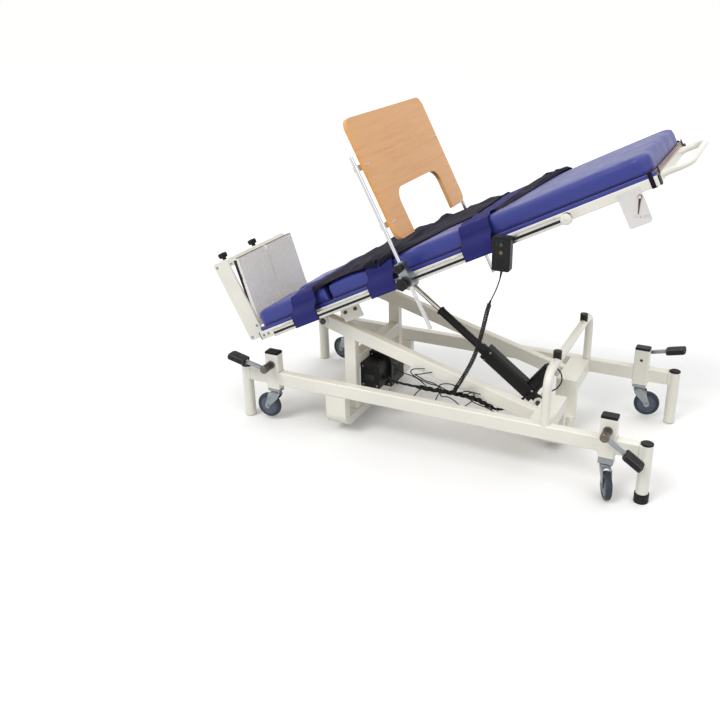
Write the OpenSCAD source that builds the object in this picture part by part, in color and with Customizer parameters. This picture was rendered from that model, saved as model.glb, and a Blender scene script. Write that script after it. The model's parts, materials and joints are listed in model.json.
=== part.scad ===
// Physiotherapy tilt table: a steel base on four lowering casters, a padded top that
// turns on two pivots from flat to upright, a foot rest with two hinged plates,
// a clamp-on tray, and an electric actuator worked from a hand control.
// X runs from the foot end to the head end, Y from the near side to the far side, Z up.
// All lengths are in millimetres.

/* [Base frame] */
// Distance between the foot end legs and the head end legs
leg_span = 1800; // [1760:10:1840]
// Distance between the near rail and the far rail
rail_span = 700; // [696:2:730]
// Width of a base rail
rail_w = 40; // [34:1:44]
// Height of a base rail
rail_h = 62; // [54:1:66]
// Height of the top of the base rails
rail_top = 252; // [244:1:262]
// Wall of the steel tubes
tube_wall = 3; // [2:0.5:4]
// Diameter of a leg
leg_d = 50; // [44:1:54]
// Height of the floor member under the uprights
low_member_t = 40; // [30:1:44]
// Length along X of the floor member under the uprights
low_member_l = 96; // [84:1:110]
// Height of the floor member above the floor
low_member_z = 40; // [30:1:50]
// Length along X of the member at the head end
head_member_l = 90; // [80:1:100]
// Half the width of the hollow in the head end member
well_half = 80; // [74:1:90]
// Distance of the two trusses from the middle
truss_y = 227; // [215:1:232]
// Height of the slanted beam
beam_h = 60; // [50:1:62]
// Length along X of an upright
upright_l = 56; // [46:1:60]
// Diameter of the hoop tube
hoop_d = 36; // [30:1:40]
// Bend radius of the hoop, at the middle of the tube
hoop_bend = 62; // [50:1:80]

/* [Casters and pedals] */
// Distance from the legs to the caster housings
housing_inset = 148; // [140:1:156]
// Length of a caster housing along X
housing_l = 66; // [60:1:72]
// Width of a caster housing along Y
housing_w = 46; // [44:1:46]
// Diameter of a caster wheel
wheel_d = 115; // [105:1:120]
// Width of a caster wheel
wheel_w = 28; // [22:1:32]
// Distance the wheel trails behind its swivel
trail = 40; // [32:1:44]
// Length of a pedal from its shaft to the tip of the pad
pedal_l = 178; // [160:1:190]
// Length of a pedal pad
pad_l = 82; // [70:1:90]
// Angle of a raised pedal above the level
pedal_up = 13; // [10:1:15]
// Angle of a fully pressed pedal below the level
pedal_down = 60; // [56:1:62]

/* [Tilting top] */
// Angle of the top above the level, as drawn
rest_tilt = 27.2; // [24:0.2:30]
// Length of the padded top
top_l = 1866; // [1840:2:1890]
// Width of the padded top
top_w = 642; // [630:2:644]
// Thickness of the padding
pad_t = 73; // [60:1:80]
// Length of the split leg pads
leg_pad_l = 422; // [400:2:450]
// Height of the pivot above the floor
pivot_z = 487; // [480:1:500]
// Distance from the foot end legs to the pivot
pivot_x = 355; // [345:1:365]
// Thickness of the board under the padding
board_t = 12; // [9:1:12]
// Diameter of the pivot bolts
pivot_d = 16; // [12:1:20]
// Width of a steel accessory rail
side_rail_h = 30; // [25:1:30]
// Thickness of a steel accessory rail
side_rail_t = 10; // [8:1:11]
// Length the push handle stands out beyond the head end
handle_reach = 114; // [90:1:130]
// Width of the retaining straps
strap_w = 132; // [120:1:140]

/* [Foot rest] */
// Height of the foot rest above the board
foot_h = 343; // [320:1:360]
// Half the width of the foot rest
foot_half = 240; // [220:1:242]
// Thickness of a foot plate
plate_t = 10; // [8:1:12]
// Lean of the foot plates towards the head end, as drawn
plate_lean = 9.5; // [7:0.5:11]

/* [Tray] */
// Length of the tray board, away from the top
tray_h = 506; // [470:2:530]
// Width of the tray board
tray_w = 716; // [690:2:724]
// Thickness of the tray board
tray_t = 18; // [15:1:20]
// Depth of the body cut-out in the tray
cut_h = 186; // [160:2:200]
// Width of the body cut-out in the tray
cut_w = 424; // [380:2:450]
// Diameter of the tray rods
tray_rod_d = 16; // [14:1:16]

/* [Actuator] */
// Distance along the top from the pivots to the actuator's pin
crank_l = 340; // [330:1:345]
// Diameter of the actuator rod
rod_d = 22; // [18:1:24]
// Diameter of the actuator's outer tube
outer_d = 36; // [33:1:38]

/* [Hidden] */
$fn = 48;

// Shared clearances and small sizes
overrun = 1;           // how far a cut runs past the face it opens
run_gap = 0.05;        // radial clearance of a shaft that turns
seat_gap = 0.3;        // clearance between pieces that rest side by side
soft_gap = 0.4;        // clearance round the padding
corner_r = 5;          // outer corner of the square tubes
datum_x = 795.65;         // middle of the whole table, from the foot end legs

// Heights and places of the base
rail_mid = rail_top - rail_h / 2;
rail_low = rail_top - rail_h;
tip_floor = 6;
tip_d = leg_d + 8;
tip_h = 40;
cap_h = 6;
plug_h = 8;
low_member_x = pivot_x + 109;
low_bend = 62;
upright_x = pivot_x + 122;
tie_z = pivot_z - 187;
tie_h = 60;
beam_start = 12;
lug_r = 22;
head_x0 = leg_span - 470;
beam_drop = pivot_z - rail_mid + 5;
beam_angle = atan2(beam_drop, head_x0 - pivot_x);
beam_l = norm([beam_drop, head_x0 - pivot_x]) + beam_h;
hoop_x = head_x0 + 70;

// The padded top in its own frame: u along it from the foot end, w out of it
pivot_u = 294;
pivot_w = -78;
side_tube_w = 30;
frame_low = -48;
frame_h = -frame_low - board_t;
frame_mid = frame_low + frame_h / 2;
side_tube_y = top_w / 2 - side_tube_w / 2 + 4;
frame_half = side_tube_y + side_tube_w / 2;
cross_us = [32, pivot_u, pivot_u + 156, pivot_u + 526, pivot_u + hoop_x - pivot_x,
    top_l - 19];
cross_h = frame_h - 2;
handle_d = 25;
cross_ls = [60, 34, 34, 34, 34, 34];
flat_low = pivot_z - pivot_w + frame_low;
bumper_h = 26;
bumper_gap = 1;
hoop_top = flat_low - bumper_gap - bumper_h - hoop_d / 2;
bumper_d = 34;
bumper_y = 220;
side_rail_y = top_w / 2 + 44;
side_rail_w0 = -47;
side_rail_u0 = 108;
side_rail_u1 = top_l - 351;
spacer_l = 32;
groove_h = 10;
groove_in = 3;
stop_d = 44;
stop_over = 7;
stop_out = 4;

// Casters, with the drawn state of each corner: x, y side, press angle, swivel angle
head_press = 47;
corner_x = [housing_inset, leg_span - housing_inset];
corner_way = [-1, 1];
swivel_shares = [[180, 168], [-66, 8]];
housing_low = rail_low - 20;
housing_top = rail_top + 86;
pedal_z = rail_top + 38;
shaft_d = 14;
crank_r = 18;
roller_r = 8;
crank_w = 20;
pedal_mid = (pedal_up - pedal_down) / 2;
lift_travel = 2 * crank_r * sin((pedal_up + pedal_down) / 2);
touch_gap = 0.3;
lift_gap = head_press / (pedal_up + pedal_down) * lift_travel + touch_gap;
plunger_gap = 0.5;
guide_gap = 0.1;
plunger_top = pedal_z + lift_travel / 2 - roller_r - plunger_gap;
crown_gap = 9;
crown_t = 4;
race_h = 11;
race_d = 50;
king_d = 16;
king_l = 26;
axle_d = 10;
fork_t = 3;
fork_gap = 2.5;
fork_clear = 1;
tyre_t = 16;
tyre_gap = 0.05;
hub_w = wheel_w - 6;
web_t = 8;
lever_d = 14;
hub_d = 34;
pedal_hub_l = 66;
lever_y = rail_span / 2 + 78;
pedal_pad_w = 50;
pedal_pad_t = 24;

// Actuator: the pin under the top, the pin on the base, and its pieces
crank_w_down = 20;
rear_x = head_x0 - 50;
rear_z = 165;
ear_t = 8;
eye_w = 24;
eye_r = 15;
pin_d = 14;
pin_r_front = 8;
ear_gap = 1;
bar_half = 25;
pin_x = pivot_x + crank_l * cos(rest_tilt) + crank_w_down * sin(rest_tilt);
pin_z = pivot_z + crank_l * sin(rest_tilt) - crank_w_down * cos(rest_tilt);
act_angle = atan2(pin_z - rear_z, rear_x - pin_x);
act_l = norm([pin_z - rear_z, rear_x - pin_x]);
rod_in = 200.5;
outer_l = act_l - 174.5;
outer_x0 = 300;
body_x0 = 34;
body_l = 290;
body_w = 62;
body_h = 66;
rod_l = act_l - rod_in;
motor_d = 62;
motor_x = 66;
motor_l = 122;

// Foot rest, in the frame of the top
foot_u0 = -137;
foot_u1 = -52;
foot_w0 = -46;
cheek_t = 10;
bar_u = 30;
bar_h = 40;
low_bar_h = 30;
hinge_u = -66;
hinge_w = 12;
hinge_d = 8;
barrel_r = 9;
plate_l = 318;
plate_gap = 16;
side_play = 4;
rib_pitch = 12;
rib_depth = 1.5;
arc_r = foot_h - hinge_w - bar_h / 2;
arc_w = 20;
arc_t = 6;
arc_slot = 9;
slot_drop = 8;
slot_play = 1;
arc_tail = 14;
knob_ys = [-165, 75];
knob_d = 42;
knob_h = 24;
knob_neck = 9;
knob_lobe_d = 11;
knob_stem_d = 8;
foot_rod_d = 20;
foot_rod_y = 160;
foot_rod_in = 200;

// Tray, in the frame of the top
tray_u = 865;
tray_w0 = 125;
tray_rod_u = tray_u - tray_t / 2 - 10;
tray_rod_y = side_rail_y + 18;
tray_rod_low = -240;
tray_rod_high = 490;
tray_corner_r = 42;
cut_corner_r = 58;
clip_ws = [190, 430];
clip_h = 24;
clip_t = 5;
clip_reach = 40;
clamp_l = 44;
clamp_h = 66;
clamp_low = side_rail_w0 - 8;
clamp_out = tray_rod_y + 17;
clamp_in = side_rail_y - side_rail_t / 2 - 8;
lip_h = 6;
small_knob_d = 32;
small_knob_h = 20;
rail_knob_u = -14;
rod_knob_w = 30;

// Straps, as shares of the width and of the padding
strap_t = 3;
strap_us = [301, 715, 1169];
strap_fold = 24;
strap_waves = 5;

// Angle plate and needle
dial_u0 = top_l - 153;
dial_u1 = top_l - 66;
dial_low = -155;
dial_t = 2;
needle_u = top_l - 78;
needle_w = -58;
needle_l = 62;
needle_t = 2;
needle_pin_d = 6;

// Hand control, drawn hanging upright from the near accessory rail
hand_x = 1210;
hand_l = 70;
hand_t = 32;
hand_h = 132;
hand_top = 1012;
hand_r = 9;
button_d = 15;
button_out = 2.5;
button_in = 7;
button_travel = 1.5;
button_pitch = 30;
hook_l = 22;
hook_t = 4;

// The cords' routes: points chosen by hand, x from the foot end legs
lead_d = 5;
lead_points = [[1210, -395, 880], [1206, -394, 855], [1198, -390, 825], [1186, -384, 793],
    [1172, -377, 762], [1160, -371, 735]];
curl_points = [[1160, -371, 735], [1147, -363, 692], [1135, -352, 645], [1122, -342, 595],
    [1108, -333, 545], [1092, -325, 495], [1072, -317, 445], [1048, -311, 395],
    [1022, -305, 345], [1000, -296, 306], [986, -276, 279], [981, -263.6, 265.5]];
curl_turns = 52;
curl_d = 13;
curl_wire = 4.2;
harness_points = [[595.7, -150, 214], [612, -150, 216], [634, -176, 228], [654, -214, 244],
    [690, -246, 255], [740, -257, 258], [800, -259, 258], [860, -259, 258],
    [920, -259, 259], [980, -259, 261], [1030, -258, 258], [1080, -256, 250],
    [1120, -250, 232], [1150, -234, 212], [1180, -200, 200], [1205, -140, 196],
    [1224, -80, 198], [1231, -50, 200], [1232, -33, 200]];
harness_d = 12;
loop_d = 5;
loop_points = [[[950, -259, 260], [920, -259, 274], [866, -258, 286], [818, -256, 294],
        [788, -256, 308], [779, -256, 327], [794, -256, 344], [826, -256, 350]],
    [[860, -259, 258], [886, -260, 238], [914, -262, 222], [944, -262, 234],
        [976, -262, 228], [1008, -262, 210], [1034, -262, 224], [1050, -257, 255]]];

// Places a child measured from the foot end legs
module at_base() translate([-datum_x, 0, 0]) children();

// Places a child measured in the frame of the padded top
module at_top() at_base() translate([pivot_x, 0, pivot_z]) rotate([0, -rest_tilt, 0])
    translate([-pivot_u, 0, -pivot_w]) children();

// A square with round corners, centred
module round_rect(w, h, r) {
    square([w - 2 * r, h], center = true);
    square([w, h - 2 * r], center = true);
    for (x = [-1, 1], y = [-1, 1]) translate([x * (w / 2 - r), y * (h / 2 - r)]) circle(r);
}

// Runs a flat outline along X: its first axis lies along Y, its second along Z
module along_x(l) rotate([90, 0, 90]) linear_extrude(l) children();

// Runs a flat outline along Y about the middle: its first axis lies along X
module along_y(l) translate([0, l / 2, 0]) rotate([90, 0, 0]) linear_extrude(l) children();

module rod_y(d, l) rotate([90, 0, 0]) cylinder(d = d, h = l, center = true);
module rod_x(d, l) rotate([0, 90, 0]) cylinder(d = d, h = l);

// A hexagon head or nut with its axis along Y
module hex_y(across, l) rotate([90, 0, 0]) cylinder(d = across / cos(30), h = l,
    center = true, $fn = 6);

// Base rail with its two legs and its two caster housings
module rail_frame(side) {
    translate([0, side * rail_span / 2, 0]) difference() {
        union() {
            translate([0, 0, rail_mid]) along_x(leg_span) round_rect(rail_w, rail_h, corner_r);
            for (x = [0, leg_span]) translate([x, 0, tip_floor])
                cylinder(d = leg_d, h = rail_top - tip_floor);
            for (x = corner_x) translate([x, 0, housing_low])
                linear_extrude(housing_top - housing_low)
                    round_rect(housing_l, housing_w, corner_r);
        }
        translate([0, 0, rail_mid]) along_x(leg_span)
            round_rect(rail_w - 2 * tube_wall, rail_h - 2 * tube_wall, corner_r - tube_wall + 1);
        for (x = [0, leg_span]) translate([x, 0, 0])
            cylinder(d = leg_d - 2 * tube_wall, h = rail_top + overrun);
        for (x = corner_x) {
            translate([x, 0, housing_low - overrun])
                linear_extrude(housing_top - housing_low + 2 * overrun)
                    square([housing_l - 2 * tube_wall, housing_w - 2 * tube_wall], center = true);
            translate([x, 0, pedal_z]) rod_y(shaft_d + 2 * run_gap, housing_w + 2 * overrun);
        }
    }
}
module near_rail() color("ivory") at_base() rail_frame(-1);
module far_rail() color("ivory") at_base() rail_frame(1);

// Outline of a trough: flat floor, round lower corners, open at the top
module trough(half, low, top, r) {
    translate([-half, low + r]) square([2 * half, top - low - r]);
    translate([r - half, low]) square([2 * (half - r), r]);
    for (s = [-1, 1]) translate([s * (half - r), low + r]) circle(r);
}

// Floor member that drops from rail to rail and carries the uprights
module foot_cross_member() color("ivory") at_base() {
    half = rail_span / 2 + rail_w / 2;
    translate([low_member_x - low_member_l / 2, 0, 0]) difference() {
        along_x(low_member_l) difference() {
            trough(half, low_member_z, rail_low, low_bend);
            trough(half - low_member_t, low_member_z + low_member_t, rail_low + overrun,
                low_bend - low_member_t);
        }
        translate([tube_wall, 0, 0]) along_x(low_member_l - 2 * tube_wall) difference() {
            trough(half - tube_wall, low_member_z + tube_wall, rail_low + overrun,
                low_bend - tube_wall);
            trough(half - low_member_t + tube_wall, low_member_z + low_member_t - tube_wall,
                rail_low + 2 * overrun, low_bend - low_member_t + tube_wall);
        }
    }
}

// Outline in the YZ plane of the head end member: two arms and a hollow between them
module hat_outline(t, out) {
    arm_low = rail_low + 2;
    arm_top = rail_top - 2;
    difference() {
        union() {
            for (s = [-1, 1]) translate([s > 0 ? well_half : -out, arm_low + t])
                square([out - well_half, arm_top - arm_low - 2 * t]);
            translate([-(well_half + low_member_t - t), low_member_z + t])
                square([2 * (well_half + low_member_t - t), arm_top - low_member_z - 2 * t]);
        }
        translate([-(well_half + t), low_member_z + low_member_t - t])
            square([2 * (well_half + t), rail_top]);
    }
}

// Head end member with the two ears that hold the actuator's rear pin
module head_cross_member() color("ivory") at_base() {
    half = rail_span / 2 - rail_w / 2;
    ear_base = low_member_z + low_member_t;
    ear_y = eye_w / 2 + ear_gap + ear_t / 2;
    translate([head_x0, 0, 0]) difference() {
        along_x(head_member_l) hat_outline(0, half);
        translate([tube_wall, 0, 0]) along_x(head_member_l - 2 * tube_wall)
            hat_outline(tube_wall, half + overrun);
    }
    difference() {
        for (s = [-1, 1]) translate([0, s * ear_y, 0]) along_y(ear_t) {
            translate([rear_x, rear_z]) circle(r = lug_r);
            translate([rear_x - lug_r, ear_base]) square([2 * lug_r, rear_z - ear_base]);
            translate([rear_x, ear_base]) square([head_x0 + head_member_l - tube_wall - rear_x, lug_r]);
        }
        translate([rear_x, 0, rear_z]) rod_y(pin_d + 2 * run_gap, rail_span);
    }
}

// Upright and slanted beam of one side, with the lug that holds the pivot bolt
module truss(side) {
    beam_w = rail_w;
    inner_w = beam_w - 2 * tube_wall;
    low = low_member_z + low_member_t;
    upright_top = pivot_z - tan(beam_angle) * (upright_x - pivot_x);
    translate([0, side * truss_y, 0]) difference() {
        union() {
            translate([pivot_x, 0, pivot_z]) rotate([0, beam_angle, 0])
                translate([beam_start, 0, 0]) along_x(beam_l) round_rect(beam_w, beam_h, corner_r);
            translate([pivot_x, 0, pivot_z]) rod_y(2 * lug_r, beam_w - 2);
            translate([upright_x, 0, low]) linear_extrude(upright_top - low)
                round_rect(upright_l, beam_w - 2, corner_r);
        }
        translate([pivot_x, 0, pivot_z]) rotate([0, beam_angle, 0])
            translate([beam_start + 2 * lug_r, 0, 0]) along_x(beam_l)
                square([inner_w, beam_h - 2 * tube_wall], center = true);
        translate([upright_x, 0, low - overrun]) linear_extrude(upright_top - low)
            square([upright_l - 2 * tube_wall, inner_w - 2], center = true);
        translate([pivot_x, 0, pivot_z]) rod_y(pivot_d + 2 * run_gap, beam_w + 2 * overrun);
        translate([head_x0, -beam_w, 0]) cube([beam_l, 2 * beam_w, pivot_z]);
    }
}
// The near truss carries the tie that runs across to the far upright
module near_truss() color("ivory") at_base() {
    tie_l = 2 * truss_y - rail_w + 3 - seat_gap;
    tie_w = upright_l - 4;
    truss(-1);
    translate([upright_x, -(1 + seat_gap) / 2, tie_z]) difference() {
        along_y(tie_l) round_rect(tie_w, tie_h, corner_r);
        along_y(tie_l + 2 * overrun) square([tie_w - 2 * tube_wall, tie_h - 2 * tube_wall],
            center = true);
    }
}
module far_truss() color("ivory") at_base() truss(1);

// Tube that rises from each rail and crosses over: the top rests on it when flat
module hoop_path(d, foot) {
    half = rail_span / 2;
    for (s = [-1, 1]) {
        translate([0, s * half, rail_top - foot]) cylinder(d = d,
            h = hoop_top - hoop_bend - rail_top + foot);
        translate([0, s * (half - hoop_bend), hoop_top - hoop_bend]) rotate([90, 0, 90])
            rotate(s > 0 ? 0 : 90) rotate_extrude(angle = 90) translate([hoop_bend, 0])
                circle(d = d);
    }
    translate([0, 0, hoop_top]) rod_y(d, 2 * (half - hoop_bend));
}
module hoop() color("ivory") at_base() translate([hoop_x, 0, 0]) difference() {
    hoop_path(hoop_d, 0);
    hoop_path(hoop_d - 2 * tube_wall, overrun);
}

// A cap that closes a tube: a stepped top and a plug below it
module round_cap(d) {
    cylinder(d = d, h = cap_h - 2);
    cylinder(d = d - 6, h = cap_h);
    translate([0, 0, -plug_h]) cylinder(d = d - 2 * tube_wall - 2 * seat_gap, h = plug_h);
}
module square_cap(l, w) {
    linear_extrude(cap_h + 1) round_rect(l, w, corner_r);
    linear_extrude(cap_h + 4) round_rect(l - 5, w - 5, corner_r);
    translate([0, 0, -plug_h]) linear_extrude(plug_h) square([l - 2 * tube_wall - 2 * seat_gap,
        w - 2 * tube_wall - 2 * seat_gap], center = true);
}
// Caps of the legs and housings, and the two bumpers on the hoop
module rubber_caps() color("black") at_base() {
    for (s = [-1, 1]) {
        for (x = [0, leg_span]) translate([x, s * rail_span / 2, rail_top]) round_cap(leg_d);
        for (x = corner_x) translate([x, s * rail_span / 2, housing_top])
            square_cap(housing_l, housing_w);
        translate([hoop_x, s * bumper_y, hoop_top]) difference() {
            cylinder(d = bumper_d, h = hoop_d / 2 + bumper_h);
            rod_y(hoop_d + 2 * seat_gap, bumper_d + 2 * overrun);
        }
    }
}

// Pale glides under three legs, and the black boot under the near head leg
module leg_tips() color("gainsboro") at_base() for (c = [[0, -1], [0, 1], [leg_span, 1]])
    translate([c[0], c[1] * rail_span / 2, 0]) {
        cylinder(d1 = leg_d - 4, d2 = leg_d, h = 2);
        translate([0, 0, 2]) cylinder(d = leg_d, h = tip_floor - 2);
        translate([0, 0, tip_floor]) cylinder(d = leg_d - 2 * tube_wall - 2 * seat_gap,
            h = 2 * plug_h);
    }
module black_leg_tip() color("black") at_base() translate([leg_span, -rail_span / 2, 0])
    difference() {
        union() {
            cylinder(d = tip_d, h = tip_h - 3);
            cylinder(d = tip_d - 4, h = tip_h);
        }
        translate([0, 0, tip_floor]) cylinder(d = leg_d + 2 * run_gap, h = tip_h);
    }

// Bolts of the two pivots and of the actuator's rear pin
module pivot_bolts() color("dimgray") at_base() {
    reach = rail_w / 2 + 1.5 + 6 + seat_gap;
    for (s = [-1, 1]) translate([pivot_x, s * truss_y, pivot_z]) {
        rod_y(pivot_d, 2 * reach);
        for (e = [-1, 1]) translate([0, e * (reach + 4), 0]) hex_y(pivot_d + 8, 8);
    }
    rear_reach = eye_w / 2 + ear_gap + ear_t + seat_gap;
    translate([rear_x, 0, rear_z]) {
        rod_y(pin_d, 2 * rear_reach);
        for (e = [-1, 1]) translate([0, e * (rear_reach + 3), 0]) hex_y(pin_d + 7, 6);
    }
}

// Control box beside the uprights: two black cases with rounded tops
module case_block(l, w, h, r) {
    along_y(w) difference() {
        union() {
            translate([0, 0]) square([l - r, h]);
            square([l, h - r]);
            translate([l - r, h - r]) circle(r);
        }
    }
}
module control_box() color([0.08, 0.08, 0.09]) at_base() {
    face_x = upright_x + upright_l / 2 - 2 + seat_gap;
    translate([face_x, -153, 176]) case_block(92, 92, 114, 22);
    translate([face_x, -40, 150]) case_block(108, 133.6, 160, 44);
}

// Sweeps a ring of points along a list of frames and closes both ends
function wrap(i, n) = (i + n) % n;
module skin(rings, sides) {
    n = len(rings);
    points = [for (r = rings) for (p = r) p];
    walls = [for (i = [0:n - 2], j = [0:sides - 1], h = [0, 1])
        let (a = i * sides + j, b = i * sides + wrap(j + 1, sides))
        h == 0 ? [a, b + sides, b] : [a, a + sides, b + sides]];
    first = [for (j = [1:sides - 2]) [0, j, j + 1]];
    last = [for (j = [1:sides - 2]) let (k = (n - 1) * sides) [k, k + j + 1, k + j]];
    polyhedron(points, concat(walls, first, last));
}
function unit(v) = v / norm(v);
function lerp(a, b, t) = a + (b - a) * t;
// A smooth point on a route of hand-placed points
function on_route(p, t) =
    let (n = len(p), i = min(floor(t), n - 2), f = t - i,
        a = p[max(i - 1, 0)], b = p[i], c = p[i + 1], d = p[min(i + 2, n - 1)])
    0.5 * (2 * b + (c - a) * f + (2 * a - 5 * b + 4 * c - d) * f * f
        + (3 * b - a - 3 * c + d) * f * f * f);
function route_way(p, t) =
    let (n = len(p) - 1, e = 0.02)
    unit(on_route(p, min(t + e, n)) - on_route(p, max(t - e, 0)));
// Side directions square to the route: the first is also square to a chosen direction
across_y = [0.12, 1, 0.05];
across_z = [0.05, 0.1, 1];
function side_a(d, ref = across_y) = unit(cross(d, ref));
function side_b(d, ref = across_y) = unit(cross(d, side_a(d, ref)));
module tube_on(p, d, rings, sides, ref = across_y) {
    n = len(p) - 1;
    skin([for (k = [0:rings]) let (t = k / rings * n, c = on_route(p, t),
        w = route_way(p, t), a = side_a(w, ref), b = side_b(w, ref))
        [for (j = [0:sides - 1]) let (q = j * 360 / sides)
            c + d / 2 * (cos(q) * a + sin(q) * b)]], sides);
}
// Cable bundle from the control box over the near rail to the motor, with its ties
module cable_harness() color("black") at_base() {
    tube_on(harness_points, harness_d, 54, 8, across_z);
    for (t = [7, 8.4, 9.5]) translate(on_route(harness_points, t)) rotate([0, 90, 0])
        cylinder(d = harness_d + 5, h = 5, center = true);
    for (p = loop_points) tube_on(p, loop_d, 28, 6, across_y);
}

// Pedal of one corner: way is -1 at the foot end, press is how far it is trodden
module pedal(way, side, press) {
    alpha = pedal_up - press;
    pad_mid = pedal_l - pad_l / 2;
    mirror([way < 0 ? 1 : 0, 0, 0]) mirror([0, side < 0 ? 1 : 0, 0]) {
        inner = housing_w / 2 + pedal_hub_l;
        translate([0, rail_span / 2 + (inner - housing_w / 2) / 2 - run_gap, 0])
            rod_y(shaft_d, inner + housing_w / 2);
        translate([0, rail_span / 2 + housing_w / 2 + seat_gap + pedal_hub_l / 2, 0])
            rod_y(hub_d, pedal_hub_l);
        translate([0, rail_span / 2, 0]) rotate([0, -(alpha - pedal_mid), 0]) {
            rod_y(shaft_d + 4, crank_w);
            translate([0, -crank_w / 2, -4]) cube([crank_r, crank_w, 8]);
            translate([crank_r, 0, 0]) rod_y(2 * roller_r, crank_w);
        }
        translate([0, lever_y, 0]) rotate([0, -alpha, 0]) {
            rod_x(lever_d, pedal_l - pad_l / 3);
            translate([pad_mid, 0, 0]) along_y(pedal_pad_w) difference() {
                round_rect(pad_l, pedal_pad_t, 7);
                for (k = [-3:3]) translate([k * pad_l / 8, pedal_pad_t / 2])
                    square([2, 3], center = true);
            }
        }
    }
}

// Sliding guide inside a housing: it carries the caster, and a post on its top, beside
// the pedal's shaft, is pushed down by the pedal's roller
module plunger() {
    l = housing_l - 2 * tube_wall - 2 * guide_gap;
    w = housing_w - 2 * tube_wall - 2 * guide_gap;
    low = wheel_d + lift_gap + crown_gap + crown_t + race_h + fork_clear;
    plate_top = pedal_z - shaft_d / 2 - 3;
    difference() {
        union() {
            translate([0, 0, low]) linear_extrude(king_l + 12) round_rect(l, w, 2);
            translate([0, 0, low]) cylinder(d = king_d + 12, h = plate_top - low);
            translate([0, 0, plate_top - 10]) linear_extrude(10) round_rect(l, w, 2);
            translate([12, -crank_w / 2, plate_top - 1])
                cube([l / 2 - 14, crank_w, plunger_top - plate_top + 1]);
        }
        translate([0, 0, low - overrun]) cylinder(d = king_d + 2 * run_gap,
            h = king_l + 2 + overrun);
    }
}

// Fork with its king pin and axle, trailing along +X
module fork() {
    wheel_z = wheel_d / 2 + lift_gap;
    crown_z = wheel_d + lift_gap + crown_gap;
    gap = wheel_w / 2 + fork_gap;
    translate([0, 0, crown_z + crown_t]) cylinder(d = race_d, h = race_h);
    translate([0, 0, crown_z + crown_t]) cylinder(d = king_d, h = race_h + king_l);
    translate([-race_d / 2, -gap - fork_t, crown_z]) cube([race_d + 6, 2 * (gap + fork_t), crown_t]);
    for (s = [-1, 1]) translate([0, s * (gap + fork_t / 2), 0]) along_y(fork_t) difference() {
        union() {
            polygon([[-race_d / 2, crown_z + crown_t], [race_d / 2 + 6, crown_z + crown_t],
                [race_d / 2 + 6, crown_z - crown_gap], [trail + axle_d, wheel_z + axle_d / 2],
                [trail - axle_d, wheel_z - axle_d / 2], [-race_d / 2, crown_z - crown_gap]]);
            translate([trail, wheel_z]) circle(d = 2.4 * axle_d);
        }
    }
    translate([trail, 0, wheel_z]) rod_y(axle_d, 2 * (gap + fork_t));
    for (s = [-1, 1]) translate([trail, s * (gap + fork_t + 2.5), wheel_z])
        hex_y(1.6 * axle_d, 5);
}

// Wheel: a tyre and a hub that turns on the axle
module wheel() {
    tyre_r = wheel_d / 2 - tyre_t;
    translate([trail, 0, wheel_d / 2 + lift_gap]) rotate([90, 0, 0]) {
        rotate_extrude() translate([wheel_d / 2 - tyre_t / 2 + tyre_gap / 2, 0])
            round_rect(tyre_t - tyre_gap, wheel_w - 2, 6);
        difference() {
            union() {
                cylinder(r = tyre_r - 9, h = web_t, center = true);
                cylinder(d = 3.4 * axle_d, h = wheel_w, center = true);
                difference() {
                    cylinder(r = tyre_r, h = hub_w, center = true);
                    cylinder(r = tyre_r - 10, h = hub_w + overrun, center = true);
                }
            }
            cylinder(d = axle_d + 2 * run_gap, h = wheel_w + 2 * overrun, center = true);
        }
    }
}

// A corner's state: the press of its pedal, and the height and swivel of its caster
function press(end, side) = (end == 1 && side < 0) ? head_press : 0;
function drop(end, side) = press(end, side) / (pedal_up + pedal_down) * lift_travel;
function swivel(end, side) = swivel_shares[end][side < 0 ? 0 : 1];
module corner_pedal(end, side) color("dimgray") at_base()
    translate([corner_x[end], 0, pedal_z]) pedal(corner_way[end], side, press(end, side));
module corner_plunger(end, side) color("silver") at_base()
    translate([corner_x[end], side * rail_span / 2, -drop(end, side)])
        mirror([corner_way[end] < 0 ? 1 : 0, 0, 0]) plunger();
module corner_fork(end, side) color("silver") at_base()
    translate([corner_x[end], side * rail_span / 2, -drop(end, side)])
        rotate([0, 0, swivel(end, side)]) fork();
module corner_wheel(end, side) color("slategray") at_base()
    translate([corner_x[end], side * rail_span / 2, -drop(end, side)])
        rotate([0, 0, swivel(end, side)]) wheel();

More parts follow.
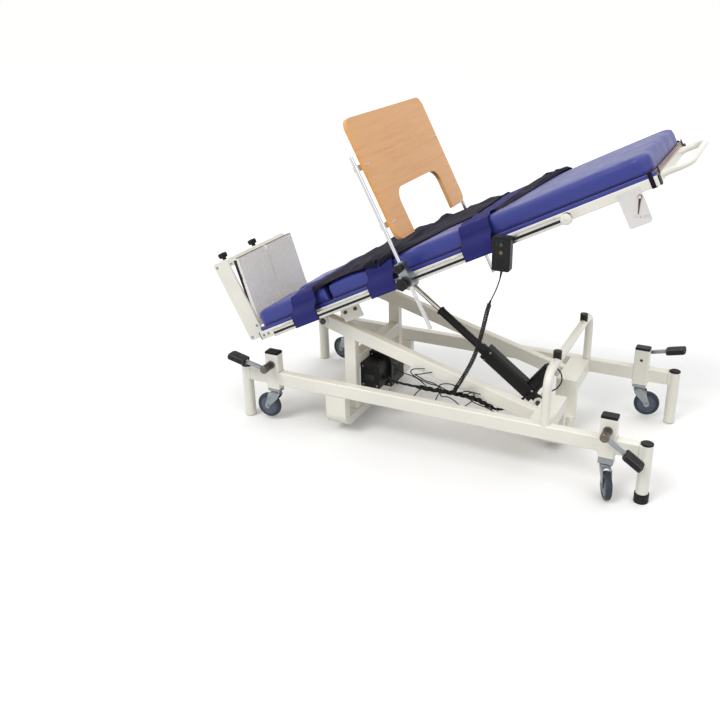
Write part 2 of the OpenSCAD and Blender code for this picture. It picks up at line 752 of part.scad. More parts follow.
// Steel frame of the top: side tubes, cross tubes, pivot plates, actuator bars,
// spacers for the accessory rails, and the push handle
module handle_path(d, foot) {
    half = 220;
    bend = 50;
    far = top_l + handle_reach - handle_d / 2;
    for (s = [-1, 1]) {
        translate([top_l - foot, s * half, 0]) rod_x(d, far - bend - top_l + foot);
        translate([far - bend, s * (half - bend), 0]) rotate(s > 0 ? 0 : -90)
            rotate_extrude(angle = 90) translate([bend, 0]) circle(d = d);
    }
    translate([far, 0, 0]) rod_y(d, 2 * (half - bend));
}
module tabletop_frame() color("ivory") at_top() {
    plate_in = rail_w / 2 + 1.5;
    hang_t = 6;
    difference() {
        union() {
            for (s = [-1, 1]) translate([0, s * side_tube_y, frame_mid]) along_x(top_l)
                round_rect(side_tube_w, frame_h, corner_r - 1);
            for (i = [0:len(cross_us) - 1]) translate([cross_us[i], 0, frame_mid])
                along_y(2 * side_tube_y) round_rect(cross_ls[i], cross_h, corner_r - 1);
            for (s = [-1, 1], e = [-1, 1])
                translate([pivot_u, s * truss_y + e * (plate_in + hang_t / 2), 0])
                    along_y(hang_t) {
                        translate([0, pivot_w]) circle(r = lug_r);
                        translate([-lug_r, pivot_w]) square([2 * lug_r, frame_mid - pivot_w]);
                    }
            for (s = [-1, 1]) translate([cross_us[2], s * (truss_y + plate_in + hang_t / 2 + 1), 0])
                along_y(hang_t) translate([0, (frame_mid + pivot_w - 40) / 2])
                    round_rect(100, frame_mid - pivot_w + 40, 8);
            for (s = [-1, 1]) translate([0, s * (bar_half + ear_t / 2), 0]) along_y(ear_t) {
                translate([cross_us[2], frame_low]) square([cross_us[3] - cross_us[2],
                    frame_h - seat_gap]);
                translate([pivot_u + crank_l, pivot_w - crank_w_down]) circle(r = lug_r);
                translate([pivot_u + crank_l - lug_r, pivot_w - crank_w_down])
                    square([2 * lug_r, crank_w_down - pivot_w + frame_mid]);
            }
            for (s = [-1, 1]) translate([pivot_u + crank_l,
                s * (bar_half + ear_t / 2 - (bar_half - eye_w / 2 - ear_gap) / 2),
                pivot_w - crank_w_down])
                    rod_y(2 * pin_r_front, ear_t + bar_half - eye_w / 2 - ear_gap);
            for (s = [-1, 1], f = [0, 1, 2, 3])
                translate([side_rail_u0 + f * (side_rail_u1 - side_rail_u0 - spacer_l) / 3,
                    s > 0 ? frame_half - 2 : -side_rail_y + side_rail_t / 2, side_rail_w0 + 3])
                    cube([spacer_l, side_rail_y - side_rail_t / 2 - frame_half + 2,
                        side_rail_h - 6]);
            translate([0, 0, frame_mid + 4]) handle_path(handle_d, tube_wall + 1);
        }
        for (s = [-1, 1]) translate([-overrun, s * side_tube_y, frame_mid])
            along_x(top_l + 2 * overrun)
                square([side_tube_w - 2 * tube_wall, frame_h - 2 * tube_wall], center = true);
        for (i = [0:len(cross_us) - 1]) translate([cross_us[i], 0, frame_mid])
            along_y(2 * side_tube_y) square([cross_ls[i] - 2 * tube_wall,
                cross_h - 2 * tube_wall], center = true);
        for (s = [-1, 1]) {
            translate([pivot_u, s * truss_y, pivot_w])
                rod_y(pivot_d + 2 * run_gap, 4 * plate_in);
            translate([-overrun, s * foot_rod_y, frame_mid])
                rod_x(foot_rod_d + 2 * run_gap, cross_us[0] + cross_ls[0] / 2 + 2 * overrun);
        }
        translate([0, 0, frame_mid + 4]) handle_path(handle_d - 2 * tube_wall, 3 * tube_wall);
    }
}

// Board under the padding, with the slot between the leg pads
module bed_board() color("burlywood") at_top() translate([0, 0, -board_t])
    linear_extrude(board_t - seat_gap / 2) translate([top_l / 2, 0])
        round_rect(top_l - 2, top_w - 8, 20);

// Padding: an outline is drawn in again and again as it rises
function inset_corner(r, d) = max(r - d, 4);
// Points round a four-cornered outline whose sides may slant, drawn in by d
function outline(c, r, d, n) = [for (i = [0:3])
    let (a = c[wrap(i - 1, 4)], b = c[i], e = c[wrap(i + 1, 4)],
        u1 = unit(b - a), u2 = unit(e - b),
        n1 = [-u1[1], u1[0]], n2 = [-u2[1], u2[0]],
        q = inset_corner(r[i], d),
        k = (d + q) / (1 + n1 * n2), m = b + k * (n1 + n2),
        a1 = atan2(-n1[1], -n1[0]), turn = acos(min(1, n1 * n2)))
    for (j = [0:n]) let (f = a1 + turn * j / n) m + q * [cos(f), sin(f)]];
// How far the side is drawn in, and how high it is, at each ring
side_in_shares = [0.10, 0.01, 0, 0.05, 0.16, 0.38, 0.72, 1.25, 2.1, 3.2];
side_up_shares = [0, 0.10, 0.36, 0.60, 0.75, 0.87, 0.94, 0.975, 0.99, 1];
module padding(c, r, n) {
    skin([for (k = [0:len(side_in_shares) - 1])
        [for (p = outline(c, r, side_in_shares[k] * pad_t * 0.42, n))
            [p[0], p[1], side_up_shares[k] * (pad_t - soft_gap)]]], 4 * (n + 1));
}
module mattress() color([0.16, 0.17, 0.55]) at_top() translate([0, 0, soft_gap])
    padding([[leg_pad_l + 2, -top_w / 2], [top_l, -top_w / 2], [top_l, top_w / 2],
        [leg_pad_l + 2, top_w / 2]], [8, 62, 62, 8], 7);
// The two leg pads with the gap that widens to the foot end
module leg_pads() color([0.16, 0.17, 0.55]) at_top() translate([0, 0, soft_gap]) {
    gap_in = 7;
    gap_out = 22;
    near = [[0, -top_w / 2], [leg_pad_l, -top_w / 2], [leg_pad_l, -gap_in], [0, -gap_out]];
    padding(near, [48, 8, 20, 48], 7);
    mirror([0, 1, 0]) padding(near, [48, 8, 20, 48], 7);
}

// Grooved steel accessory rails along both sides, each with a round stop at its head end
module side_rails() color("silver") at_top() for (s = [-1, 1])
    mirror([0, s > 0 ? 0 : 1, 0]) translate([0, side_rail_y, side_rail_w0 + side_rail_h / 2]) {
        translate([side_rail_u0, 0, 0]) along_x(side_rail_u1 - side_rail_u0) difference() {
            round_rect(side_rail_t, side_rail_h, 2);
            translate([side_rail_t / 2, 0]) square([2 * groove_in, groove_h], center = true);
        }
        translate([side_rail_u1 + stop_d / 2 - stop_over, stop_out / 2, 0])
            rod_y(stop_d, side_rail_t + stop_out);
    }

// Black plugs in the open ends of the side tubes
module frame_plugs() color("black") at_top() for (s = [-1, 1], e = [0, 1])
    translate([e * top_l, s * side_tube_y, frame_mid]) mirror([1 - e, 0, 0]) {
        along_x(5) round_rect(side_tube_w, frame_h, corner_r - 1);
        translate([-16, 0, 0]) along_x(16) square([side_tube_w - 2 * tube_wall - 2 * seat_gap,
            frame_h - 2 * tube_wall - 2 * seat_gap], center = true);
    }

// Straps: each lies across the padding in low folds, runs down both sides and
// turns in under the accessory rails
function strap_side(y) = [[y * (frame_half + 10), side_rail_w0 - 0.2],
    [y * (side_rail_y + side_rail_t / 2 - 1.5), side_rail_w0 - 0.2],
    [y * (side_rail_y + side_rail_t / 2 + 0.2), side_rail_w0 + 1.5],
    [y * (side_rail_y + side_rail_t / 2 + 0.2), side_rail_w0 + side_rail_h - 1],
    [y * (side_rail_y - 2), 8], [y * (top_w / 2 + 9), 0.4 * pad_t],
    [y * (top_w / 2 + 3), 0.72 * pad_t], [y * (top_w / 2 - 10), 0.98 * pad_t + 3]];
function strap_top(n) = [for (i = [0:n]) let (t = i / n)
    [lerp(24 - top_w / 2, top_w / 2 - 24, t),
        pad_t + 4 + strap_fold * pow(sin(180 * strap_waves * t), 2) * (0.55 + 0.45 * cos(250 * t))]];
strap_line = concat(strap_side(-1), strap_top(40),
    [for (i = [7:-1:0]) strap_side(1)[i]]);
// A line given thickness: each point is moved square to the line
function line_way(p, i) = unit(p[min(i + 1, len(p) - 1)] - p[max(i - 1, 0)]);
function thick(p, t) = [for (i = [0:len(p) - 1]) let (d = line_way(p, i))
    p[i] + t * [-d[1], d[0]]];
module strap() along_x(strap_w) polygon(concat(strap_line,
    [for (i = [len(strap_line) - 1:-1:0]) thick(strap_line, strap_t)[i]]));
module straps() color([0.15, 0.2, 0.6]) at_top() for (u = strap_us)
    translate([u - strap_w / 2, 0, 0]) strap();

// Black bolts in the brackets under the top
module bracket_bolts() color("black") at_top() for (s = [-1, 1], u = [-27, 27])
    translate([cross_us[2] + u, s * (truss_y + rail_w / 2 + 1.5 + 6 + 1 + 3.5 + seat_gap),
        pivot_w + 2]) hex_y(14, 7);

// Angle plate on the near side, and the needle that hangs plumb in front of it
module angle_plate() color("white") at_top() {
    y0 = -frame_half - seat_gap;
    translate([0, y0 - dial_t / 2, 0]) along_y(dial_t) polygon([[dial_u0, frame_mid + 6],
        [dial_u1, frame_mid + 6], [dial_u1, dial_low + 10], [dial_u1 - 10, dial_low],
        [dial_u0 + 6, dial_low], [dial_u0, dial_low + 8]]);
    translate([needle_u, y0 - dial_t - 2.5, needle_w]) rod_y(needle_pin_d, 5);
    translate([needle_u, y0 - dial_t - 6, needle_w]) rod_y(needle_pin_d + 5, 2);
}
module angle_needle() color("firebrick") at_top() {
    y0 = -frame_half - seat_gap - dial_t;
    translate([needle_u, y0 - 1 - needle_t / 2, needle_w]) rotate([0, rest_tilt, 0])
        difference() {
            union() {
                rod_y(needle_pin_d + 9, needle_t);
                along_y(needle_t) polygon([[-1, -needle_l], [1, -needle_l], [4, -5], [-4, -5]]);
            }
            rod_y(needle_pin_d + 2 * run_gap, 4 * needle_t);
        }
}

// Hand control with its hook; it hangs upright from the near accessory rail
rail_out_y = -(side_rail_y + side_rail_t / 2);
module handset() color([0.1, 0.1, 0.12]) at_base() {
    back_y = rail_out_y - 8 - seat_gap;
    hook_z = rail_line_z(hand_x + hook_l / 2);
    translate([hand_x, back_y - hand_t / 2, hand_top - hand_h / 2]) difference() {
        rotate([90, 0, 0]) translate([0, 0, -hand_t / 2]) linear_extrude(hand_t)
            round_rect(hand_l, hand_h, hand_r);
        for (k = [0, 1]) translate([0, -hand_t / 2 + button_in / 2, hand_h / 2 - 30 - k * button_pitch])
            rod_y(button_d + 2 * run_gap, button_in + button_travel + 2 * seat_gap + overrun);
    }
    translate([hand_x - hook_l / 2, back_y, hand_top - 60])
        cube([hook_l, 8, hook_z + hook_t - hand_top + 60]);
    translate([hand_x - hook_l / 2, back_y, hook_z])
        cube([hook_l, side_rail_t + 14 + seat_gap, hook_t]);
}
// Height of the accessory rail's upper edge above a place on the base
function rail_line_z(x) = pivot_z + (x - pivot_x) * tan(rest_tilt)
    + (side_rail_w0 + side_rail_h - pivot_w) / cos(rest_tilt) + seat_gap;
module hand_button(k) color(k == 0 ? "green" : "gold") at_base()
    translate([hand_x, rail_out_y - 8 - seat_gap - hand_t - button_out
        + (button_in + button_out - seat_gap) / 2, hand_top - 30 - k * button_pitch])
        rod_y(button_d, button_in + button_out - seat_gap);
module up_button() hand_button(0);
module down_button() hand_button(1);

// Straight lead out of the hand control, and the curly part below it
module handset_cord() color("black") at_base() tube_on(lead_points, lead_d, 20, 8);
curl_rings = 8;
curl_n = curl_turns * curl_rings;
curl_lead = 4;
function curl_grow(k) = max(0, min(1, (k - curl_lead) / curl_rings,
    (curl_n - curl_lead - k) / curl_rings));
function curl_at(k) = let (t = k / curl_n * (len(curl_points) - 1),
        c = on_route(curl_points, t), w = route_way(curl_points, t),
        q = k * 360 / curl_rings, r = (curl_d - curl_wire) / 2 * curl_grow(k))
    c + r * (cos(q) * side_a(w) + sin(q) * side_b(w));
curl_line = [for (k = [0:curl_n]) curl_at(k)];
function curl_way(k) = k == 0 || k == curl_n
    ? route_way(curl_points, k / curl_n * (len(curl_points) - 1))
    : unit(curl_line[min(k + 1, curl_n)] - curl_line[max(k - 1, 0)]);
curl_self_gap = min([for (k = [0:curl_n - 1], j = [k + curl_rings - 3:min(k + curl_rings + 3, curl_n)])
    norm(curl_line[k] - curl_line[j])]) - curl_wire;
module curly_cord() color("black") at_base() {
    echo("Least gap of the curly cord to itself, in mm:", curl_self_gap);
    skin([for (k = [0:curl_n]) let (w = curl_way(k), a = side_a(w), b = side_b(w))
        [for (j = [0:5]) curl_line[k] + curl_wire / 2 * (cos(60 * j) * a + sin(60 * j) * b)]], 6);
}

// Foot rest frame: cheeks, upper bar with two slots, lower bar, post and hinge rod
module foot_frame() color("ivory") at_top() {
    inner = foot_half - cheek_t;
    difference() {
        union() {
            for (s = [-1, 1]) translate([0, s * (foot_half - cheek_t / 2), 0]) along_y(cheek_t)
                translate([(foot_u0 + foot_u1) / 2, (foot_w0 + foot_h) / 2])
                    round_rect(foot_u1 - foot_u0, foot_h - foot_w0, 8);
            translate([foot_u0 + bar_u / 2, 0, foot_h - bar_h / 2]) along_y(2 * inner + 1)
                round_rect(bar_u, bar_h, 4);
            translate([foot_u0 + bar_u / 2, 0, foot_w0 + low_bar_h / 2]) along_y(2 * inner + 1)
                round_rect(bar_u, low_bar_h, 4);
            translate([foot_u0 + 4, 0, foot_w0 + low_bar_h - 2])
                linear_extrude(foot_h - foot_w0 - bar_h - low_bar_h + 4) translate([9, 0])
                    square([18, 30], center = true);
            translate([hinge_u, 0, hinge_w]) rod_y(hinge_d, 2 * inner + 1);
        }
        for (y = knob_ys) {
            translate([foot_u0 - overrun, y - arc_w / 2 - slot_play,
                hinge_w + arc_r - arc_slot / 2 - slot_drop])
                cube([bar_u + 2 * overrun, arc_w + 2 * slot_play, arc_slot + slot_drop - 2]);
            translate([foot_u0 + bar_u / 2, y, foot_h - bar_h / 2])
                cylinder(d = knob_stem_d + 2 * run_gap, h = bar_h);
        }
    }
}

// Two bright rods that carry the foot rest in the frame of the top
module foot_rods() color("silver") at_top() for (s = [-1, 1])
    translate([foot_u0 + bar_u, s * foot_rod_y, frame_mid]) {
        rod_x(foot_rod_d, foot_rod_in - foot_u0 - bar_u);
        rod_x(foot_rod_d + 8, 6);
    }

// A hinged foot plate with ribs, its barrel and the curved strut that the knob holds
module footplate(side) {
    k = side < 0 ? 0 : 1;
    width = foot_half - cheek_t - side_play - plate_gap / 2;
    mid_y = side * (plate_gap / 2 + width / 2);
    translate([hinge_u, 0, hinge_w]) {
        rotate([0, plate_lean, 0]) difference() {
            union() {
                translate([0, mid_y, 0]) linear_extrude(plate_l) difference() {
                    translate([0, -width / 2]) square([plate_t, width]);
                    for (i = [-8:8]) translate([plate_t - rib_depth, i * rib_pitch - 1])
                        square([2 * rib_depth, 2.4]);
                }
                for (e = [-1, 1]) translate([-14, mid_y + e * (width / 2 - 2) - 2, barrel_r + 4])
                    cube([15, 4, plate_l - barrel_r - 4]);
                translate([0, mid_y, 0]) rod_y(2 * barrel_r, width);
            }
            translate([0, mid_y, 0]) rod_y(hinge_d + 2 * run_gap, width + 2 * overrun);
        }
        translate([0, knob_ys[k] + arc_w / 2, 0]) rotate([90, 0, 0])
            rotate([0, 0, 90 - plate_lean]) rotate_extrude(angle = plate_lean + arc_tail)
                translate([arc_r - arc_t / 2, 0]) square([arc_t, arc_w]);
    }
}
module near_footplate() color("lightgray") at_top() footplate(-1);
module far_footplate() color("lightgray") at_top() footplate(1);

// A star knob standing on its stem
module star_knob(d, h, neck, stem) {
    cylinder(d = 0.45 * d, h = neck + 1);
    translate([0, 0, neck]) cylinder(d = 0.74 * d, h = h - neck);
    for (i = [0:5]) rotate(i * 60) translate([0.37 * d, 0, neck + 2])
        cylinder(d = 0.26 * d, h = h - neck - 3);
    translate([0, 0, -stem]) cylinder(d = knob_stem_d, h = stem + 1);
}
module foot_knob(k) color("black") at_top()
    translate([foot_u0 + bar_u / 2, knob_ys[k], foot_h + seat_gap])
        star_knob(knob_d, knob_h + knob_neck, knob_neck,
            foot_h - hinge_w - arc_r - arc_t / 2 + seat_gap - 2);
module near_foot_knob() foot_knob(0);
module far_foot_knob() foot_knob(1);

// Wooden tray board with the body cut-out in its lower edge
module tray_board() color("peru") at_top() {
    r2 = 2 * cut_corner_r;
    translate([tray_u - tray_t / 2, 0, tray_w0 + tray_h / 2]) along_x(tray_t) difference() {
        round_rect(tray_w, tray_h, tray_corner_r);
        translate([0, -tray_h / 2]) round_rect(cut_w, 2 * cut_h, cut_corner_r);
    }
}

// Bright rods of the tray, with the clips that hold the board
module tray_rods() color("silver") at_top() for (s = [-1, 1]) {
    translate([tray_rod_u, s * tray_rod_y, tray_rod_low])
        cylinder(d = tray_rod_d, h = tray_rod_high - tray_rod_low);
    for (w = clip_ws) translate([0, 0, w]) {
        translate([tray_rod_u, s * tray_rod_y, 0]) cylinder(d = tray_rod_d + 8, h = clip_h);
        translate([tray_u - tray_t / 2 - clip_t, s > 0 ? tray_w / 2 - clip_reach : -tray_rod_y, 0])
            cube([clip_t, tray_rod_y - tray_w / 2 + clip_reach, clip_h]);
    }
}

// Clamp blocks that slide on the accessory rails and guide the tray rods
module tray_clamps() color("gainsboro") at_top() for (s = [-1, 1]) mirror([0, s > 0 ? 0 : 1, 0])
    difference() {
        union() {
            translate([tray_rod_u - clamp_l / 2, clamp_in, clamp_low])
                cube([clamp_l, clamp_out - clamp_in, clamp_h - 12]);
            translate([tray_rod_u - clamp_l / 2 + 2, tray_rod_y - 14, clamp_low + clamp_h - 13])
                cube([clamp_l - 4, 31, 50]);
        }
        translate([tray_rod_u - clamp_l, side_rail_y - side_rail_t / 2 - guide_gap,
            side_rail_w0 - guide_gap])
            cube([2 * clamp_l, side_rail_t + 2 * guide_gap, side_rail_h + 2 * guide_gap]);
        translate([tray_rod_u - clamp_l, clamp_in - overrun, side_rail_w0 + 2])
            cube([2 * clamp_l, 12, side_rail_h - 4]);
        translate([tray_rod_u, tray_rod_y, clamp_low - overrun])
            cylinder(d = tray_rod_d + 2 * run_gap, h = 2 * clamp_h);
    }
module side_knob(s, du, w) color("black") at_top()
    translate([tray_rod_u + du, s * (clamp_out + seat_gap), w]) rotate([s > 0 ? -90 : 90, 0, 0])
        star_knob(small_knob_d, small_knob_h + 6, 6, 0);
module near_rail_knob() side_knob(-1, rail_knob_u, side_rail_w0 + side_rail_h / 2);
module far_rail_knob() side_knob(1, rail_knob_u, side_rail_w0 + side_rail_h / 2);
module near_rod_knob() side_knob(-1, 0, rod_knob_w);
module far_rod_knob() side_knob(1, 0, rod_knob_w);

// Places a child on the actuator's axis: its X runs from the rear pin to the front pin
module at_actuator() at_base() translate([rear_x, 0, rear_z])
    rotate([0, 180 + act_angle, 0]) mirror([0, 0, 1]) children();

// Body, gearbox and outer tube of the actuator, bored for the rod
module actuator_housing() color([0.07, 0.07, 0.08]) at_actuator() difference() {
    union() {
        rod_y(2 * eye_r + 4, eye_w);
        translate([0, -eye_w / 2, -eye_r]) cube([body_x0 + 6, eye_w, 2 * eye_r]);
        translate([body_x0, 0, 4]) along_x(body_l) round_rect(body_w, body_h, 14);
        translate([body_x0 + body_l - overrun, 0, 0]) rod_x(outer_d + 12, 26);
        translate([body_x0 + body_l - overrun, 0, 0])
            rod_x(outer_d, outer_l - body_x0 - body_l + overrun);
        translate([outer_l - 10, 0, 0]) rod_x(outer_d + 4, 10);
    }
    rod_y(pin_d + 2 * run_gap, eye_w + 2 * overrun);
    translate([body_x0 + 8, 0, 0]) rod_x(rod_d + 2 * run_gap, outer_l);
}
module actuator_motor() color([0.07, 0.07, 0.08]) at_actuator()
    translate([motor_x, 0, 4 + body_h / 2 + seat_gap]) {
        cylinder(d = motor_d, h = motor_l - 8);
        cylinder(d = motor_d - 8, h = motor_l);
    }

// Bright rod with the eye that reaches the pin under the top
module actuator_rod() color("silver") at_actuator() difference() {
    union() {
        translate([act_l - rod_l, 0, 0]) rod_x(rod_d, rod_l - eye_r + 2);
        translate([act_l, 0, 0]) rod_y(2 * eye_r, eye_w);
    }
    translate([act_l, 0, 0]) rod_y(2 * pin_r_front + 2 * run_gap, eye_w + 2 * overrun);
}

near_rail();
far_rail();
foot_cross_member();
head_cross_member();
near_truss();
far_truss();
hoop();
rubber_caps();
leg_tips();
black_leg_tip();
pivot_bolts();
control_box();
cable_harness();
corner_pedal(0, -1);  // near_foot_pedal
corner_pedal(0, 1);  // far_foot_pedal
corner_pedal(1, -1);  // near_head_pedal
corner_pedal(1, 1);  // far_head_pedal
corner_plunger(0, -1);  // near_foot_plunger
corner_plunger(0, 1);  // far_foot_plunger
corner_plunger(1, -1);  // near_head_plunger
corner_plunger(1, 1);  // far_head_plunger
corner_fork(0, -1);  // near_foot_fork
corner_fork(0, 1);  // far_foot_fork
corner_fork(1, -1);  // near_head_fork
corner_fork(1, 1);  // far_head_fork
corner_wheel(0, -1);  // near_foot_wheel
corner_wheel(0, 1);  // far_foot_wheel
corner_wheel(1, -1);  // near_head_wheel
corner_wheel(1, 1);  // far_head_wheel
tabletop_frame();
bed_board();
mattress();
leg_pads();
side_rails();
frame_plugs();
straps();
bracket_bolts();
angle_plate();
angle_needle();
handset();
up_button();
down_button();
handset_cord();
curly_cord();
foot_frame();
foot_rods();
near_footplate();
far_footplate();
near_foot_knob();
far_foot_knob();
tray_board();
tray_rods();
tray_clamps();
near_rail_knob();
far_rail_knob();
near_rod_knob();
far_rod_knob();
actuator_housing();
actuator_motor();
actuator_rod();
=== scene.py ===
"""Looks of the physiotherapy tilt table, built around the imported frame.

Places and sizes are written in millimetres, and BASE or TOP turns them into metres. Materials,
lamps, the camera and the cloth simulation are in metres.
"""

import json
import math

import bmesh
import bpy
import numpy as np
from mathutils import Matrix, Vector, noise


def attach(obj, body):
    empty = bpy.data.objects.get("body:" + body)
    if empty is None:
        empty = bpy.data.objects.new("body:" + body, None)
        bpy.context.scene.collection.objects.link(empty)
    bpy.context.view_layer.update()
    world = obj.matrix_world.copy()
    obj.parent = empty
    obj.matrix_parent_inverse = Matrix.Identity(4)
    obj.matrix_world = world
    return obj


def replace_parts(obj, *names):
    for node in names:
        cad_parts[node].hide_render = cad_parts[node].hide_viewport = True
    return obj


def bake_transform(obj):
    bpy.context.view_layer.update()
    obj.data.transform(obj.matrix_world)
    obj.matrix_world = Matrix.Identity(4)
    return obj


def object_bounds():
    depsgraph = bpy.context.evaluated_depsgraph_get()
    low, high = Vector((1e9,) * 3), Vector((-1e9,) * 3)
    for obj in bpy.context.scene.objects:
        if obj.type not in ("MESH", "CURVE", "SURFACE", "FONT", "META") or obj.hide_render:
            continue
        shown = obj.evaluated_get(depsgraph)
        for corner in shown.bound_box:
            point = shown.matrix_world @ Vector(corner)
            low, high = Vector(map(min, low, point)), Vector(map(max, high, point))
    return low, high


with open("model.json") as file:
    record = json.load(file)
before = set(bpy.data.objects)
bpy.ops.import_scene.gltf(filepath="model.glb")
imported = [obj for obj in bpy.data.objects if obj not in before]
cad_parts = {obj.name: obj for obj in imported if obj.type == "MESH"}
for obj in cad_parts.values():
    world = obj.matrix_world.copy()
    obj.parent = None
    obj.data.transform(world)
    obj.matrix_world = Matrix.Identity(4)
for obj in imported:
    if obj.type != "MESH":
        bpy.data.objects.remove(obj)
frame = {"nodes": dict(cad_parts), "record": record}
cad_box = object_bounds()
scene = bpy.context.scene
NODES = frame["nodes"]

# Places in millimetres, from the foot end legs, turned into the frame in metres
MM = 0.001
DATUM_X = 795.65
TILT_DEG = 27.2
TILT = math.radians(TILT_DEG)
PIVOT_X, PIVOT_Z = 355, 487
PIVOT_U, PIVOT_W = 294, -78
REAR_X, REAR_Z = 1280, 165
ACT_ANGLE = math.radians(36.8)
BASE = Matrix.Scale(MM, 4) @ Matrix.Translation((-DATUM_X, 0, 0))
TOP = (BASE @ Matrix.Translation((PIVOT_X, 0, PIVOT_Z)) @ Matrix.Rotation(-TILT, 4, "Y")
       @ Matrix.Translation((-PIVOT_U, 0, -PIVOT_W)))

# The padded top
TOP_L, HALF_W, PAD_T = 1866, 321, 73
LEG_PAD_L = 422
SOFT_GAP = 0.4
RAIL_Y, RAIL_W0, RAIL_MID = 365, -47, -32
SIDES = (("near", -1), ("far", 1))
FRAME_MID = -30
STRAP_US = (301, 715, 1169)
STRAP_W = 132

# The camera, from the photograph's perspective
CAMERA_AT = Vector((1.34385, -3.2832, 1.8939))
CAMERA_RIGHT = Vector((0.9166, 0.3998, 0.0))
CAMERA_UP = Vector((-0.1576, 0.3613, 0.9190))
LENS, SENSOR = 42.81, 36.0
SHIFT_X, SHIFT_Y = -0.0833, -0.0278


def put(name, data):
    """A new object in the scene."""
    made = bpy.data.objects.new(name, data)
    scene.collection.objects.link(made)
    return made


def make_camera():
    data = bpy.data.cameras.new("camera")
    data.lens, data.sensor_width = LENS, SENSOR
    data.shift_x, data.shift_y = SHIFT_X, SHIFT_Y
    camera = put("camera", data)
    right = CAMERA_RIGHT.normalized()
    back = right.cross(CAMERA_UP).normalized()
    up = back.cross(right)
    turn = Matrix((right, up, back)).transposed().to_4x4()
    camera.matrix_world = Matrix.Translation(CAMERA_AT) @ turn
    scene.camera = camera


make_camera()


# Materials

def srgb(r, g, b):
    def linear(c):
        c /= 255
        return c / 12.92 if c <= 0.04045 else ((c + 0.055) / 1.055) ** 2.4
    return (linear(r), linear(g), linear(b))


class Nodes:
    """A material's node tree, with short calls for the nodes that most materials use."""

    def __init__(self, name):
        self.material = bpy.data.materials.new(name)
        self.material.use_nodes = True
        self.tree = self.material.node_tree
        self.shader = self.tree.nodes["Principled BSDF"]
        self.place = self.tree.nodes.new("ShaderNodeTexCoord").outputs["Object"]

    def add(self, kind, **values):
        made = self.tree.nodes.new("ShaderNode" + kind)
        for key, value in values.items():
            setattr(made, key, value)
        return made

    def link(self, a, b):
        self.tree.links.new(a, b)

    def scaled(self, scale, turn=(0, 0, 0)):
        mapping = self.add("Mapping")
        mapping.inputs["Scale"].default_value = scale
        mapping.inputs["Rotation"].default_value = turn
        self.link(self.place, mapping.inputs["Vector"])
        return mapping.outputs["Vector"]

    def noise(self, scale, detail=4.0, place=None, rough=0.5, distortion=0.0):
        made = self.add("TexNoise")
        made.inputs["Scale"].default_value = scale
        made.inputs["Detail"].default_value = detail
        made.inputs["Roughness"].default_value = rough
        made.inputs["Distortion"].default_value = distortion
        self.link(place or self.place, made.inputs["Vector"])
        return made.outputs["Fac"]

    def cells(self, scale, feature="F1", place=None):
        made = self.add("TexVoronoi", feature=feature)
        made.inputs["Scale"].default_value = scale
        self.link(place or self.place, made.inputs["Vector"])
        return made.outputs["Distance"]

    def ramp(self, value, *stops):
        made = self.add("ValToRGB")
        elements = made.color_ramp.elements
        while len(elements) < len(stops):
            elements.new(0.5)
        for element, (at, colour) in zip(elements, stops):
            element.position = at
            element.color = (*colour, 1)
        self.link(value, made.inputs["Fac"])
        return made.outputs["Color"]

    def map(self, value, low, high, start=0.3, end=0.7):
        made = self.add("MapRange")
        for key, number in zip(("From Min", "From Max", "To Min", "To Max"),
                               (start, end, low, high)):
            made.inputs[key].default_value = number
        self.link(value, made.inputs["Value"])
        return made.outputs["Result"]

    def mix(self, factor, a, b, blend="MIX"):
        made = self.add("Mix", data_type="RGBA", blend_type=blend)
        for socket, value in zip((made.inputs["Factor"], made.inputs[6], made.inputs[7]),
                                 (factor, a, b)):
            if isinstance(value, bpy.types.NodeSocket):
                self.link(value, socket)
            elif isinstance(value, (int, float)):
                socket.default_value = value
            else:
                socket.default_value = (*value, 1)
        return made.outputs[2]

    def bump(self, *layers):
        """Each layer is (height, distance in metres)."""
        normal = None
        for height, distance in layers:
            made = self.add("Bump")
            made.inputs["Strength"].default_value = 1.0
            made.inputs["Distance"].default_value = distance
            self.link(height, made.inputs["Height"])
            if normal:
                self.link(normal, made.inputs["Normal"])
            normal = made.outputs["Normal"]
        self.link(normal, self.shader.inputs["Normal"])

    def edges(self, width):
        """Near 1 along edges sharper than the bevel that the node imagines, 0 elsewhere."""
        bevel = self.add("Bevel", samples=4)
        bevel.inputs["Radius"].default_value = width
        plain = self.add("NewGeometry")
        dot = self.add("VectorMath", operation="DOT_PRODUCT")
        self.link(bevel.outputs["Normal"], dot.inputs[0])
        self.link(plain.outputs["Normal"], dot.inputs[1])
        return self.map(dot.outputs["Value"], 1.0, 0.0, 0.80, 0.985)

    def set(self, colour=None, rough=None, **numbers):
        if colour is not None:
            self.link(colour, self.shader.inputs["Base Color"])
        if rough is not None:
            self.link(rough, self.shader.inputs["Roughness"])
        for key, number in numbers.items():
            self.shader.inputs[key.replace("_", " ")].default_value = number
        return self.material


def shade(colour, factor):
    return tuple(min(1.0, c * factor) for c in colour)


def powder_coat(name, colour):
    """Cream powder coat: orange-peel skin, faint hand marks, and a darker, warmer tone along sharp
    edges.
    """
    n = Nodes(name)
    tone = n.ramp(n.noise(5.0, 5.0), (0.3, shade(colour, 0.955)), (0.7, shade(colour, 1.02)))
    marks = n.map(n.noise(34.0, 8.0, rough=0.7), 0.0, 0.35, 0.60, 0.75)
    tone = n.mix(marks, tone, shade(colour, 0.86))
    # The edges that the bevel node finds are mixed towards a darker, warmer tone
    tone = n.mix(n.map(n.edges(0.0022), 0.0, 0.4, 0.0, 1.0), tone, srgb(205, 196, 180))
    n.bump((n.noise(420.0, 2.0), 0.00016), (n.noise(28.0, 2.0), 0.0006))
    return n.set(tone, n.map(n.noise(60.0, 4.0), 0.26, 0.40), Coat_Weight=0.25,
                 Coat_Roughness=0.18)


